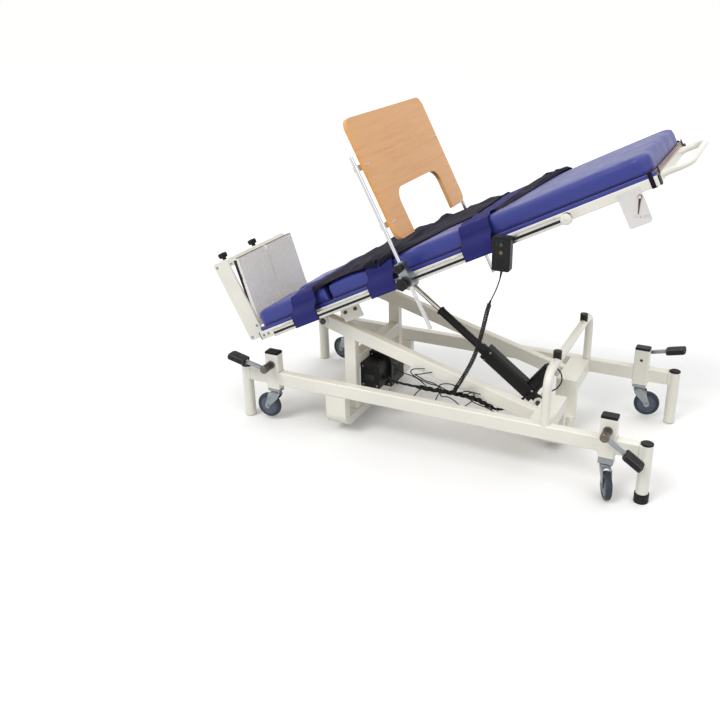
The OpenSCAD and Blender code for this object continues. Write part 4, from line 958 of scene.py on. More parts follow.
def make_wheel(corner):
    place = corner_place(corner) @ at(TRAIL, 0, WHEEL_Z, Y_NEAR)
    body = f"{corner}_wheel"
    tyre = mirrored([(TYRE_IN, -11), (43.5, -12.6), (46, -12.2), (47, -12.9), (51, -13),
                     (54.6, -11.4), (56.7, -8), (57.4, -4), (56.9, -3.2), (56.9, -2.6),
                     (WHEEL_R, -1.8)])
    made = finish_bm(f"{corner}_tyre", lathe(tyre, 72), "tyre", body, place, sharp=28)
    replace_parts(made, f"{corner}_wheel")
    rim = mirrored([(5.2, -13.8), (13, -13.8), (14.5, -12.6), (15, -9), (18, -5.5), (30, -4.2),
                    (34, -7.5), (36, -10.6), (38, -11.3), (TYRE_IN - 0.2, -11)])
    ribs = []
    for k in range(6):
        turn = spin(60 * k + 14, "Z")
        for s in (-1, 1):
            ribs.append((prism(round_rect(22, 3.4, 1.2, 2), 3.4, 7.2),
                         turn @ at(24, 0, 0, flip(2, s))))
    whole = join((lathe(rim, 72), STILL), *ribs)
    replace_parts(finish_bm(f"{corner}_rim", whole, "hub", body, place),
                f"{corner}_wheel")
    # Thread guards: pressed discs that cover the bearing on both sides
    guard = [(5.4, 13.9), (33, 8.4), (35.4, 9.2), (35.6, 10.4), (33.6, 11.0), (22, 13.4),
             (13, 15.2), (8.5, 15.9), (5.4, 15.9)]
    both = join(*((lathe(guard, 72), flip(2, s)) for s in (-1, 1)))
    finish_bm(f"{corner}_guards", both, "hub", body, place)


def make_fork(corner):
    place = corner_place(corner)
    body = f"{corner}_fork"
    # Each row of the cheek: out to the side, height over the crown, middle in X, half width
    rows = [(0, 2.0, 0, 25), (8, 2.0, 1, 25.5), (13, 1.4, 3, 26.5), (16.4, -1.4, 5, 27.5),
            (18, -6, 7, 28), (18.2, -13, 9, 27.5), (18.1, -25, 14, 25), (18, -38, 23, 20.5),
            (18, -52, 33, 16), (18, -60, 38, 14)]
    for q in range(0, 91, 15):
        a = math.radians(q)
        rows.append((18, -(CROWN_Z - WHEEL_Z) - 13 * math.sin(a), TRAIL,
                     max(13 * math.cos(a), 0.8)))
    bm = bmesh.new()
    across = 10
    for s in (-1, 1):
        grid = []
        for y, z, x, half in rows:
            grid.append([bm.verts.new((x + half * (2 * j / across - 1), s * y,
                                       CROWN_Z + z)) for j in range(across + 1)])
        for a, b in zip(grid, grid[1:]):
            for j in range(across):
                bm.faces.new((a[j], a[j + 1], b[j + 1], b[j]))
    bmesh.ops.remove_doubles(bm, verts=bm.verts, dist=0.01)
    yoke = finish_bm(f"{corner}_yoke", bm, "zinc", body, place)
    solid = yoke.modifiers.new("sheet", "SOLIDIFY")
    solid.thickness, solid.offset = 3 * MM, 0.0
    round_off = yoke.modifiers.new("edge", "BEVEL")
    round_off.width, round_off.segments, round_off.limit_method = 0.7 * MM, 2, "ANGLE"
    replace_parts(yoke, f"{corner}_fork")
    top_z = CROWN_Z + 4
    head = [(0, top_z - 2.4), (24, top_z - 2.4), (25, top_z - 1), (25, top_z + 2.2),
            (23.4, top_z + 3.2), (23.4, top_z + 4.4), (24.6, top_z + 5.2),
            (24.2, top_z + 7.4), (21, top_z + 9.4), (14, top_z + 10.8), (8, top_z + 11),
            (8, top_z + 24), (0, top_z + 24)]
    axle = mirrored([(0, -24.5), (5.4, -24.5), (5.6, -23.6)])
    parts = [(lathe(head, 56), STILL),
             (lathe(axle, 24), at(TRAIL, 0, WHEEL_Z, Y_NEAR))]
    for turn in (Y_NEAR, Y_FAR):
        parts.append((prism(circle(8.6, 6), 19.6, 24), at(TRAIL, 0, WHEEL_Z, turn)))
        parts.append((lathe([(0, 19.4), (10.4, 19.4), (10.4, 20.4), (0, 20.4)], 32),
                      at(TRAIL, 0, WHEEL_Z, turn)))
    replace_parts(finish_bm(f"{corner}_swivel_head", join(*parts), "zinc", body, place),
                f"{corner}_fork")


def make_pedal(corner):
    """Rubber pad cover, bright lever and hub rings over the pedal's solid."""
    end, side, _ = CORNERS[corner]
    press = HEAD_PRESS if corner == "near_head" else 0
    body = f"{corner}_pedal"
    outward_x = 1 if end else -1
    corner_at = BASE @ at(HOUSING_X[end], 0, PEDAL_Z) @ flip(0, outward_x) @ flip(1, side)
    lever = corner_at @ at(0, LEVER_Y, 0, spin(press - PEDAL_UP, "Y"))
    # The pad: a moulded sleeve with cross ribs on its tread
    pad_l, pad_w, pad_t, pad_mid = 84, 52, 26, 137
    bm = bmesh.new()
    n_x, n_a = 34, 40
    rings = []
    for i in range(n_x + 1):
        x = (i / n_x - 0.5)
        end_round = (1 - (2 * abs(x)) ** 7) ** 0.5 if abs(x) < 0.5 else 0.55
        ring = []
        for k in range(n_a):
            a = 2 * math.pi * k / n_a
            c, s = math.cos(a), math.sin(a)
            y = pad_w / 2 * math.copysign(abs(c) ** 0.42, c) * (0.80 + 0.20 * end_round)
            z = pad_t / 2 * math.copysign(abs(s) ** 0.42, s) * (0.70 + 0.30 * end_round)
            rib = 1.4 * (math.sin(2 * math.pi * x * 8.5) < -0.35) * (s > 0.5) * (abs(x) < 0.44)
            ring.append(bm.verts.new((x * pad_l, y, z - rib)))
        rings.append(ring)
    skin(bm, rings)
    bm.transform(at(pad_mid, 0, 0))
    finish_bm(f"{corner}_pedal_pad", bm, "black_rubber", body, lever, sharp=40)
    bar = prism(round_rect(98, 15, 2, 2), -7.2, 7.2)
    bar.transform(at(57, 0, 0))
    collar = lathe([(7.3, 0), (9.4, 0), (9.4, 7), (8.4, 8.4), (7.3, 8.4)], 32)
    finish_bm(f"{corner}_pedal_lever", join((bar, STILL),
              (collar, at(88, 0, 0, HEADWARD))), "zinc", body, lever, bevel=1.0)
    hub_in, hub_out = RAIL_HALF + 23.6, RAIL_HALF + 23.3 + 66
    hub = lathe([(17.05, hub_in), (18.6, hub_in + 0.5), (18.6, hub_in + 7), (17.6, hub_in + 8),
                 (17.05, hub_in + 8)], 48)
    cap = lathe([(0, hub_out - 2), (17.4, hub_out - 2), (17.6, hub_out + 0.6),
                 (16.2, hub_out + 1.8), (9.5, hub_out + 1.8), (8.6, hub_out + 0.8),
                 (0, hub_out + 0.8)], 48)
    ring = lathe([(17.05, LEVER_Y - 11), (18.4, LEVER_Y - 10.4), (18.4, LEVER_Y + 9),
                  (17.05, LEVER_Y + 9.6)], 48)
    finish_bm(f"{corner}_pedal_rings", join(*((m, Y_FAR) for m in (hub, cap, ring))), "brass",
              body, corner_at)


for corner_name in CORNERS:
    make_wheel(corner_name)
    make_fork(corner_name)
    make_pedal(corner_name)


# Dark cloth: the straps' wide spare lengths, bunched over the top of the padding and spread over
# its whole dark far part, so the sheets are also painted shade on the padding
CLOTH_T = 2.0
# u0 and u1 are the ends along the top, near is the near border's line at its start, middle
# and end, and bump is the far hump: its place along and across, and its height
SHEETS = {
    1: dict(u0=366, u1=706, near=(-316, -190, -322), bump=(0.30, 0.88, 14)),
    2: dict(u0=712, u1=1098, near=(-322, -110, -40), bump=(0.34, 0.86, 17)),
    3: dict(u0=1240, u1=1404, near=(-130, 10, 190), bump=(0.45, 0.88, 12)),
}
# The cloth is lifted no more than CLOTH_LOW where the tray's lowest edge can come
CLOTH_LOW, TRAY_LOW_U, TRAY_LOW_REACH = 11, 855, 42


def cloth_base():
    """The padding's skin from just over the near edge to just over the far one."""
    edge = [(HALF_W + 5.6, PAD_T - 24), (HALF_W + 5.2, PAD_T - 12), (HALF_W + 1, PAD_T - 1),
            (HALF_W - 12, PAD_T + 4.4), (HALF_W - 60, PAD_T + 5.4)]
    near = [(-y, w, 0) for y, w in edge]
    middle = [(y, PAD_T + 5.6, 0) for y in (-200, -100, 0, 100, 200)]
    return near + middle + [(y, w, 0) for y, w in reversed(edge)]


def make_bunch_and_shade(number, u0, u1, near, bump):
    """A crumpled sheet of dark cloth that lies on the padding, with ridges and a far hump; it is
    partly painted shade, reaching as far as the shade on the top.
    """
    base = cloth_base()
    n_u, n_y = 64, 66
    verts = []
    for i in range(n_u + 1):
        s = i / n_u
        # The near border follows where the shade on the padding's top gives way to the lit blue:
        # painted shade
        border = (near[0] * (1 - s) * (1 - 2 * s) + 4 * near[1] * s * (1 - s)
                  + near[2] * s * (2 * s - 1))
        start = 0.5 + border / (2 * HALF_W + 60)
        for j in range(n_y + 1):
            t = j / n_y
            share = start + (1 - start) * t
            under = on_route(base, share * (len(base) - 1))
            inside = smooth_step(min(s, 1 - s) * 9) * smooth_step(min(t, 1 - t) * 8)
            wander = noise.noise(Vector((2.2 * s, 2.6 * t, 5.1 * number)))
            ridge = (0.5 + 0.5 * math.sin(2 * math.pi * (3.1 * t + 1.3 * s + 0.6 * wander
                                                         + 0.3 * number))) ** 1.7
            cross = (0.5 + 0.5 * math.sin(2 * math.pi * (2.4 * s - 0.8 * t + 0.5 * wander))) ** 2
            fine = noise.noise(Vector((11 * s, 13 * t, 1.9 * number)))
            hump = bump[2] * math.exp(-((s - bump[0]) / 0.22) ** 2 - ((t - bump[1]) / 0.22) ** 2)
            lift = inside * (3 + 8 * ridge + 4 * cross + 1.6 * fine + hump)
            y = under.x + 3 * wander * inside
            at_u = u0 + (u1 - u0) * s
            lift += 9 * max(smooth_step((STRAP_W / 2 + 16 - abs(at_u - c)) / 16)
                            for c in STRAP_US) * smooth_step(min(t, 1 - t) * 30 + 0.3)
            away = max(0, abs(at_u - TRAY_LOW_U) - TRAY_LOW_REACH)
            lift = min(lift, CLOTH_LOW + 0.5 * away)
            ragged = 9 * noise.noise(Vector((3.1 * t, 9.7 * number, 2.0 if s < 0.5 else 7.0)))
            u = at_u + ragged * abs(2 * s - 1) ** 2 + 5 * wander * inside
            verts.append((u, y, under.y + lift))
    made = cloth_piece(f"strap_cloth_and_shade_{number}", verts, n_y, CLOTH_T, "dark_cloth",
                       upward=False)


for number, sizes in SHEETS.items():
    make_bunch_and_shade(number, **sizes)


def make_strap_edge_shade():
    """Dark rolls along both long edges of each strap, down both sides of the padding: painted shade
    where the strap's thickness throws a shadow.
    """
    profile = [(y, w, 0) for y, w in strap_profile()]
    line = [on_route(profile, k / 3) for k in range(3 * 9 + 1)]
    for number, u in enumerate(STRAP_US):
        rolls = []
        for edge in (-1, 1):
            for s in (-1, 1):
                route = [(u + edge * (STRAP_W / 2 - 1), s * abs(p.x), p.y) for p in line]
                rolls.append((sweep(route, 2.0, 8), STILL))
        finish_bm(f"strap_edge_shade_{number + 1}", join(*rolls), "dark_cloth", "top", TOP)


make_strap_edge_shade()


# Vinyl drawn down over the edge of the board, and black strips in the rails' grooves that are
# painted shade

def make_skirt():
    corners = [(0, -HALF_W), (TOP_L, -HALF_W), (TOP_L, HALF_W), (0, HALF_W)]
    bm = bmesh.new()
    rings = []
    # Each ring: how far in from the board's edge, and its height
    for inset, w in ((3.2, -12.6), (1.4, -12.8), (1.2, -11), (0.9, -4), (1.3, 2), (2.6, 3),
                     (3.2, 1)):
        rings.append([bm.verts.new((x, y, w))
                      for x, y in outline_points(corners, [22] * 4, inset, 8)])
    skin(bm, rings, closed=True)
    finish_bm("board_skirt", bm, "vinyl", "top", TOP, sharp=60)


GROOVE_SHADE_U, GROOVE_SHADE_L = 110, 1398


# Black rubber strips in the rails' grooves: painted shade that darkens the grooves
def make_groove_shade():
    turn = spin(90, "Y")
    outline = [(4.7, -0.8), (4.7, 0.7), (3.2, 1.2), (-3.2, 1.2), (-4.7, 0.7), (-4.7, -0.8)]
    strips = [(prism(outline, 0, GROOVE_SHADE_L),
               at(GROOVE_SHADE_U, s * (RAIL_Y + 2.9), RAIL_MID, flip(1, s) @ turn))
              for s in (-1, 1)]
    finish_bm("rail_groove_shade", join(*strips), "black_rubber", "top", TOP)


make_skirt()
make_groove_shade()


# Foot rest: edge trims, a dark wedge of painted shade beside the near plate, rivets and bolts
HINGE_U, HINGE_W = -66, 12
PLATE_LEAN = 9.5
PLATE_L, PLATE_T, PLATE_HALF_GAP = 318, 10, 8
FOOT_U0, FOOT_U1, FOOT_H, FOOT_HALF, CHEEK_T = -137, -52, 343, 240, 10
PLATE_OUT = FOOT_HALF - CHEEK_T - 4


def make_plate_trims():
    place = TOP @ at(HINGE_U, 0, HINGE_W, spin(PLATE_LEAN, "Y"))
    for name, s in SIDES:
        body = f"{name}_footplate"
        middle = s * (PLATE_HALF_GAP + PLATE_OUT) / 2
        width = PLATE_OUT - PLATE_HALF_GAP
        cap = prism(round_rect(PLATE_T + 1.2, width - 0.6, 1.4, 3), PLATE_L, PLATE_L + 2.2)
        finish_bm(f"{name}_plate_cap", cap, "dark_steel", body,
                  place @ at(PLATE_T / 2, middle, 0), bevel=0.3)
        lips = [(prism(round_rect(2.6, 5, 0.8, 2), 12, PLATE_L - 1),
                 at(PLATE_T + 1.1, middle + e * (width / 2 - 2.8), 0)) for e in (-1, 1)]
        finish_bm(f"{name}_plate_lips", join(*lips), "plate_aluminium", body, place)
        rivets = [(lathe([(0, 0), (3.6, 0), (3.2, 1.1), (1.6, 1.8), (0, 1.9)], 20),
                   at(PLATE_T - 0.2, middle + e * (width / 2 - 14), w, HEADWARD))
                  for w in (26, PLATE_L - 14) for e in (-1, 1)]
        finish_bm(f"{name}_plate_rivets", join(*rivets), "chrome", body, place)
    # A dark wedge behind the near plate's outer edge, painted shade in the gap between the leaning
    # plate and the cheek, with its catch
    outer = -PLATE_OUT - 1.6
    side = [(-13, 40), (-6, 40), (1, 300), (3, 312), (-11, 312), (-13, 300)]
    bar = [(prism(side, -1.6, 1.6), at(0, outer, 0, spin(90, "X"))),
           (prism(round_rect(11, 26, 4, 4), -1.8, 2.2), at(-4, outer, 232, spin(90, "X")))]
    finish_bm("near_plate_shade_and_catch", join(*bar), "black_plastic", "near_footplate", place, bevel=0.5)


def bolt_head(r, h):
    """A domed socket head with its washer, along Z."""
    return lathe([(0, 0), (r * 1.5, 0), (r * 1.5, h * 0.25), (r, h * 0.3), (r, h * 0.8),
                  (r * 0.8, h), (r * 0.45, h), (r * 0.42, h * 0.55), (0, h * 0.55)], 28)


def make_foot_bolts():
    places = ((FOOT_U0 + 15, FOOT_H - 20), (HINGE_U, HINGE_W), (FOOT_U0 + 15, -31),
              (FOOT_U1 - 12, -30))
    heads = [(bolt_head(4.5, 4.2), at(u, s * FOOT_HALF, w, outward(s)))
             for s in (-1, 1) for u, w in places]
    finish_bm("foot_rest_bolts", join(*heads), "zinc", "foot_rest", TOP)
    ends = [(bolt_head(4.5, 3.6), at(u, s * 325, FRAME_MID, outward(s)))
            for s in (-1, 1) for u in (18, 46)]
    finish_bm("frame_end_bolts", join(*ends), "zinc", "top", TOP)


make_plate_trims()
make_foot_bolts()


# Hand control: face frame, button rings, ribs, marks and screws
HAND_X, HAND_TOP, HAND_H = 1210, 1012, 132
HAND_FRONT, HAND_BACK = -410.3, -378.3
BUTTON_ZS = (982, 952)
FACE_L, FACE_W, FACE_RIM = 60, 118, 3


def make_handset_trim():
    """The trim of the hand control, and a dome on each button."""
    face, middle = HAND_FRONT, HAND_TOP - HAND_H / 2
    outer = round_rect(FACE_L, FACE_W, 7, 6)
    inner = round_rect(FACE_L - 2 * FACE_RIM, FACE_W - 2 * FACE_RIM, 5, 6)
    bm = bmesh.new()
    rings = [[bm.verts.new((x, y, z)) for x, y in loop]
             for loop, z in ((outer, -0.2), (outer, 0.9), (inner, 1.3), (inner, -0.2))]
    skin(bm, rings, closed=True)
    parts = [(bm, at(HAND_X, face, middle, Y_NEAR))]
    for z in BUTTON_ZS:
        ring = lathe([(7.7, -0.2), (9.6, -0.2), (9.6, 0.8), (9.0, 1.3), (8.2, 1.3),
                      (7.7, 0.8)], 40)
        parts.append((ring, at(HAND_X, face, z, Y_NEAR)))
    for k in range(5):
        rib = prism(round_rect(30, 2, 0.9, 3), -0.2, 1.1)
        parts.append((rib, at(HAND_X, face, HAND_TOP - 88 - 7 * k, Y_NEAR)))
    finish_bm("handset_face", join(*parts), "black_plastic", "top")
    marks = []
    for z, way in zip(BUTTON_ZS, (1, -1)):
        arrow = [(-3, -1.6 * way), (3, -1.6 * way), (0, 2.6 * way)]
        if way < 0:
            arrow.reverse()
        marks.append((prism(arrow, -0.1, 0.3), at(HAND_X - 19, face, z, Y_NEAR)))
    marks.append((lathe([(0, -0.2), (2.2, -0.2), (2.2, 0.5), (1.4, 1.1), (0, 1.2)], 20),
                  at(HAND_X, face, HAND_TOP - 14, Y_NEAR)))
    finish_bm("handset_marks", join(*marks), "dark_steel", "top")
    seam = [(lathe([(0, 0), (3, 0), (3, 0.8), (1.2, 1.2), (0, 1.2)], 16),
             at(HAND_X + s * 24, HAND_BACK, middle - 52, Y_FAR))
            for s in (-1, 1)]
    finish_bm("handset_screws", join(*seam), "dark_steel", "top")
    for body, z, slot in (("up_button", BUTTON_ZS[0], "button_green"),
                          ("down_button", BUTTON_ZS[1], "button_yellow")):
        dome = lathe([(0, 0), (6.8, 0), (6.8, 0.25), (6.0, 0.8), (3.5, 1.2), (2.6, 1.0),
                      (0, 0.7)], 32)
        finish_bm(f"{body}_dome", dome, slot, body,
                  BASE @ at(HAND_X, HAND_FRONT - 2.45, z, Y_NEAR))


make_handset_trim()


# Control box: edge lines, ribs, screws, a plate and a lamp on the two cases
BOX_X, BOX_FACE, SCREW_IN = 503.3, -199, 12
# Each case: its far end, both sides, bottom and top, and the radius of its upper corner
BOX_CASES = ((595.3, BOX_FACE, -107, 176, 290, 22), (611.3, -106.8, 26.8, 150, 310, 44))


def make_box_trim():
    screws, ribs = [], []
    for x1, y0, y1, z0, z1, r in BOX_CASES:
        length, high = x1 - BOX_X, z1 - z0
        loop = [(0, 0), (length, 0), (length, high - r)]
        loop += [(length - r + r * math.cos(math.radians(a)),
                  high - r + r * math.sin(math.radians(a))) for a in range(15, 90, 15)]
        loop += [(length - r, high), (0, high)]
        for y in (y0 - 0.1, y1 - 3.1):
            line = [Vector((BOX_X + a, y + 1.6, z0 + b)) for a, b in loop[1:]]
            ribs.append((sweep(line, 1.5, 8), STILL))
        for k in range(6):
            z = z0 + 0.28 * high + 6.5 * k
            ribs.append((prism(round_rect(2.2, (y1 - y0) * 0.6, 0.8, 2), -1.1, 1.1),
                         at(x1, (y0 + y1) / 2, z)))
        for a, b in ((SCREW_IN, SCREW_IN), (length - SCREW_IN, SCREW_IN),
                     (SCREW_IN, high - SCREW_IN)):
            screws.append((bolt_head(3.2, 2.4), at(BOX_X + a, y0, z0 + b, Y_NEAR)))
    finish_bm("box_ribs", join(*ribs), "black_plastic", "base")
    finish_bm("box_screws", join(*screws), "zinc", "base")
    plate = prism(round_rect(46, 26, 3, 4), -0.1, 0.9)
    finish_bm("box_plate", join((plate, at(548, BOX_FACE, 226, Y_NEAR))), "dark_steel", "base",
              bevel=0.25)
    lamp = lathe([(0, 0), (4.2, 0), (4.2, 1), (3.4, 2.4), (1.6, 3.2), (0, 3.4)], 28)
    finish_bm("box_lamp", join((lamp, at(580, BOX_FACE, 268, Y_NEAR))), "lens_green", "base")


make_box_trim()


# Actuator: seams, screws and wiper ring, in the actuator's own frame
ACTUATOR = (BASE @ at(REAR_X, 0, REAR_Z)
            @ Matrix.Rotation(math.pi + ACT_ANGLE, 4, "Y") @ flip(2))


MOTOR_X, TUBE_END = 66, 592


def make_actuator_trim():
    rings = []
    for x in (46, 120, 312):
        loop = [Vector((x, a, b + 4)) for a, b in round_rect(62.6, 66.6, 14, 6)]
        rings.append((sweep(loop + loop[:2], 1.3, 8), STILL))
    for x in (350, TUBE_END):
        rings.append((lathe([(18.1, 0), (20.6, 0), (20.9, 3), (20.2, 8), (18.1, 8)], 40),
                      at(x - 6, 0, 0, HEADWARD)))
    for z in (42, 60, 78, 96):
        rings.append((lathe(mirrored([(31.1, -1), (32.2, -0.6)]), 56), at(MOTOR_X, 0, z)))
    finish_bm("actuator_ribs", join(*rings), "black_plastic", "actuator", ACTUATOR)
    screws = []
    for s in (-1, 1):
        for x, z in ((56, -20), (56, 28), (300, -20), (300, 28)):
            screws.append((bolt_head(3.4, 2.6), at(x, s * 31, z, outward(s))))
    for k in range(4):
        a = math.radians(45 + 90 * k)
        screws.append((bolt_head(3, 2.4), at(MOTOR_X + 20 * math.cos(a), 20 * math.sin(a), 159)))
    finish_bm("actuator_screws", join(*screws), "zinc", "actuator", ACTUATOR)
    wiper = lathe([(11.1, 0), (17, 0), (17, 1.5), (14, 4), (12, 5), (11.1, 5)], 36)
    finish_bm("rod_wiper", join((wiper, at(TUBE_END, 0, 0, HEADWARD))), "black_rubber",
              "actuator", ACTUATOR)


make_actuator_trim()


# Angle plate: scale lines and rivets
DIAL_Y = -327.3
NEEDLE_U, NEEDLE_W = 1788, -58
# The part of the plate that carries lines, and a line's inner ends and outer end
DIAL_US, DIAL_WS = (1716, 1797), (-152, -30)
TICK_LONG, TICK_SHORT, TICK_OUT = 66, 70, 76


def make_dial():
    ticks = []
    for k in range(19):
        angle = math.radians(2 * TILT_DEG - 90 - 5 * k)
        line = [(NEEDLE_U + r * math.cos(angle), DIAL_Y - 0.1, NEEDLE_W + r * math.sin(angle))
                for r in (TICK_SHORT if k % 3 else TICK_LONG, TICK_OUT)]
        u, _, w = line[1]
        if DIAL_US[0] < u < DIAL_US[1] and DIAL_WS[0] < w < DIAL_WS[1]:
            ticks.append((sweep(line, 0.45, 6), STILL))
    finish_bm("dial_ticks", join(*ticks), "print_black", "top", TOP)
    rivets = [(lathe([(0, 0), (3.4, 0), (3, 1), (1.5, 1.6), (0, 1.7)], 20),
               at(u, DIAL_Y, w, Y_NEAR)) for u, w in ((1722, -34), (1770, -34), (1790, -140))]
    finish_bm("dial_rivets", join(*rivets), "chrome", "top", TOP)


make_dial()


# Weld beads where tubes meet
def bead(line, r=2.4):
    """A weld bead: a low rippled roll along a line."""
    route = [Vector(p) for p in line]
    n = max(12, int(length_of(route) / 2.0))
    fine = smooth_route(route, n) if len(route) > 2 else [
        route[0].lerp(route[1], k / n) for k in range(n + 1)]
    return sweep(fine, lambda s: r * (0.86 + 0.16 * math.sin(s * n * 1.7)), 7)


def ring_bead(centre, r, n=64):
    x, y, z = centre
    return [(x + a, y + b, z) for a, b in circle(r, n)] + [(x + r, y, z)]


# The bases of the uprights, the truss' middle, the head end member, and the hoop's feet
UPRIGHT_X, TRUSS_Y, MEMBER_X, HOOP_X = 477, 227, 1375, 1400


def make_welds():
    beads = []

    def along(x0, x1, y, z, r=2.2):
        beads.append((bead([(x0, y, z), (x1, y, z)], r), STILL))

    def across(x, y, z, half, r=2.2):
        beads.append((bead([(x, y - half, z), (x, y + half, z)], r), STILL))

    def upright(x, y, low, high, r=2.2):
        beads.append((bead([(x, y, low), (x, y, high)], r), STILL))

    for s in (-1, 1):
        y = s * RAIL_HALF
        for x in HOUSING_X:
            for z in (253.0, 189.6):
                for a in (-1, 1):
                    across(x + a * 33.6, y, z, 20.6, 2.0)
        for x, w in ((25.4, 1), (1774.6, -1)):
            across(x, y, 252, 19, 2.0)
            for e in (-1, 1):
                upright(x + w * 0.6, y + e * 19.4, 196, 247, 2.0)
        beads.append((bead(ring_bead((HOOP_X, y, 252.4), 18.4), 2.0), STILL))
        for x in (416, 512):
            across(x, y, 190, 18)
        t = s * TRUSS_Y
        for e in (-1, 1):
            along(UPRIGHT_X - 27, UPRIGHT_X + 27, t + e * 19.4, 80.6)
            across(UPRIGHT_X + e * 28.2, t, 80.6, 17)
            upright(MEMBER_X - 45.6, t + e * 17, 196, 246)
        for w in (-1, 1):
            upright(MEMBER_X + w * 44.6, s * 329.6, 194, 248)
        for e in (-1, 1):
            for z in (270.4, 329.6):
                along(UPRIGHT_X + e * 20, UPRIGHT_X - e * 2, s * (TRUSS_Y - 19.6), z, 1.8)
    finish_bm("frame_welds", join(*beads), "weld", "base", sharp=60)


make_welds()


def band(points, u, width, thick=1.6):
    """A flat band of cloth along a line of (y, w) places."""
    line = smooth_route([(y, w, 0) for y, w in points], 8 * (len(points) - 1))
    bm = bmesh.new()
    rings = []
    for i, p in enumerate(line):
        way = (line[min(i + 1, len(line) - 1)] - line[max(i - 1, 0)]).normalized()
        out = Vector((way.y, -way.x, 0)) * thick / 2
        rings.append([bm.verts.new((u + a * width / 2, *(p + b * out)[:2]))
                      for a, b in ((-1, 1), (1, 1), (1, -1), (-1, -1))])
    skin(bm, rings)
    return bm


BAND_W = 16
STOP_U = TOP_L - 336
QUARTER_TURN = Matrix(((0, 1, 0, 0), (-1, 0, 0, 0), (0, 0, 1, 0), (0, 0, 0, 1)))


def make_top_details():
    """Black holding bands at the head end of the mattress, and the caps of the rails' stops."""
    bands = []
    for s in (-1, 1):
        side = [(s * (HALF_W + 2), 8), (s * (HALF_W + 2.6), 2), (s * (HALF_W + 4.8), -12),
                (s * (HALF_W + 5.2), -30), (s * (HALF_W + 4.6), -48), (s * (HALF_W - 12), -50)]
        bands.append((band(side, TOP_L - 22, BAND_W), STILL))
        end = [(TOP_L + 1.6, 12), (TOP_L + 2.2, 2), (TOP_L + 2.0, -14), (TOP_L - 8, -16)]
        bands.append((band(end, 0, BAND_W), at(0, s * (HALF_W - 40), 0, QUARTER_TURN)))
    finish_bm("holding_bands", join(*bands), "dark_cloth", "top", TOP, sharp=50)
    caps = []
    for s in (-1, 1):
        disc = lathe([(0, 0), (16, 0), (19, 0.6), (20.5, 1.2), (19, 2.4), (8, 3.2), (0, 3.2)])
        caps.append((disc, at(STOP_U, s * (RAIL_Y + 9), RAIL_MID, outward(s))))
        caps.append((bolt_head(4.2, 3.4), at(STOP_U, s * (RAIL_Y + 12), RAIL_MID, outward(s))))
    finish_bm("rail_stop_caps", join(*caps), "cream_paint", "top", TOP)


make_top_details()


# Tray: knobs, ends of the rods, clip screws, and the clamps' collars and bolts
TRAY_U, TRAY_T, TRAY_W = 865, 18, 716
ROD_U, ROD_Y, ROD_LOW, ROD_HIGH = 846, 383, -240, 490
CLAMP_OUT = ROD_Y + 17


def star_grip(r, high, lobes):
    """A moulded star knob: lobes that fade into a domed top."""
    bm = bmesh.new()
    rings = []
    # Each ring: the share of the radius, and of the height
    for share, z in ((0.42, 0), (0.46, 0.25), (0.97, 0.38), (1.0, 0.5), (1.0, 0.72),
                     (0.94, 0.88), (0.75, 0.97), (0.4, 1.0)):
        ring = []
        for k in range(96):
            a = 2 * math.pi * k / 96
            deep = 0.12 * max(0.0, share - 0.5) * 2
            q = r * share * (1 - deep * (0.5 - 0.5 * math.cos(lobes * a)) ** 0.8)
            ring.append(bm.verts.new((q * math.cos(a), q * math.sin(a), z * high)))
        rings.append(ring)
    skin(bm, rings)
    return bm


def make_tray_details():
    for name, s in SIDES:
        turn = outward(s)
        y = s * (CLAMP_OUT + 6)
        for kind, u, w, r, high in (("rail", ROD_U - 14, RAIL_MID, 26, 25),
                                    ("rod", ROD_U, 30, 18.5, 22)):
            grip = star_grip(r, high, 7)
            cap = lathe([(0, high - 0.5), (r * 0.36, high - 0.5), (r * 0.36, high + 0.8),
                         (r * 0.3, high + 1.6), (0, high + 1.9)], 32)
            finish_bm(f"{name}_{kind}_grip", join((grip, STILL), (cap, STILL)),
                      "black_plastic", f"{name}_{kind}_knob", TOP @ at(u, y, w, turn))
    ends, screws = [], []
    for s in (-1, 1):
        for w, way in ((ROD_HIGH, 1), (ROD_LOW, -1)):
            cap = lathe([(0, -0.5), (7.9, -0.5), (7.9, 0.6), (6.4, 2.6), (0, 3.2)], 32)
            ends.append((cap, at(ROD_U, s * ROD_Y, w, flip(2, way))))
        for w in (190, 430):
            for y in (TRAY_W / 2 - 30, TRAY_W / 2 - 12):
                for u, turn in ((TRAY_U + TRAY_T / 2, HEADWARD),
                                (TRAY_U - TRAY_T / 2 - 5, FOOTWARD)):
                    screws.append((bolt_head(3.4, 2.6), at(u, s * y, w + 12, turn)))
    finish_bm("tray_rod_ends", join(*ends), "chrome", "tray", TOP)
    finish_bm("tray_clip_screws", join(*screws), "chrome", "tray", TOP)
    edges = []
    for s in (-1, 1):
        edges.append((lathe([(8.1, 0), (12.5, 0), (12.5, 2), (11, 3.4), (8.1, 3.4)], 36),
                      at(ROD_U, s * ROD_Y, 47.6)))
        for u, w in ((ROD_U - 16, -12), (ROD_U + 16, -12), (ROD_U + 16, -50)):
            edges.append((bolt_head(2.8, 2.2), at(u, s * CLAMP_OUT, w, outward(s))))
    finish_bm("clamp_collars", join(*edges), "zinc", "tray_carriage", TOP)


make_tray_details()


# Foot rest knobs, and a lead from the motor back into the actuator

def make_foot_grips():
    for name, y in (("near", -165), ("far", 75)):
        grip = star_grip(22.5, 23, 6)
        cap = lathe([(0, 22.5), (8, 22.5), (8, 23.6), (6.5, 24.4), (0, 24.6)], 32)
        finish_bm(f"{name}_foot_grip", join((grip, STILL), (cap, STILL)),
                  "black_plastic", f"{name}_foot_knob", TOP @ at(FOOT_U0 + 15, y, FOOT_H + 9.6))


MOTOR_LEAD_D = 6


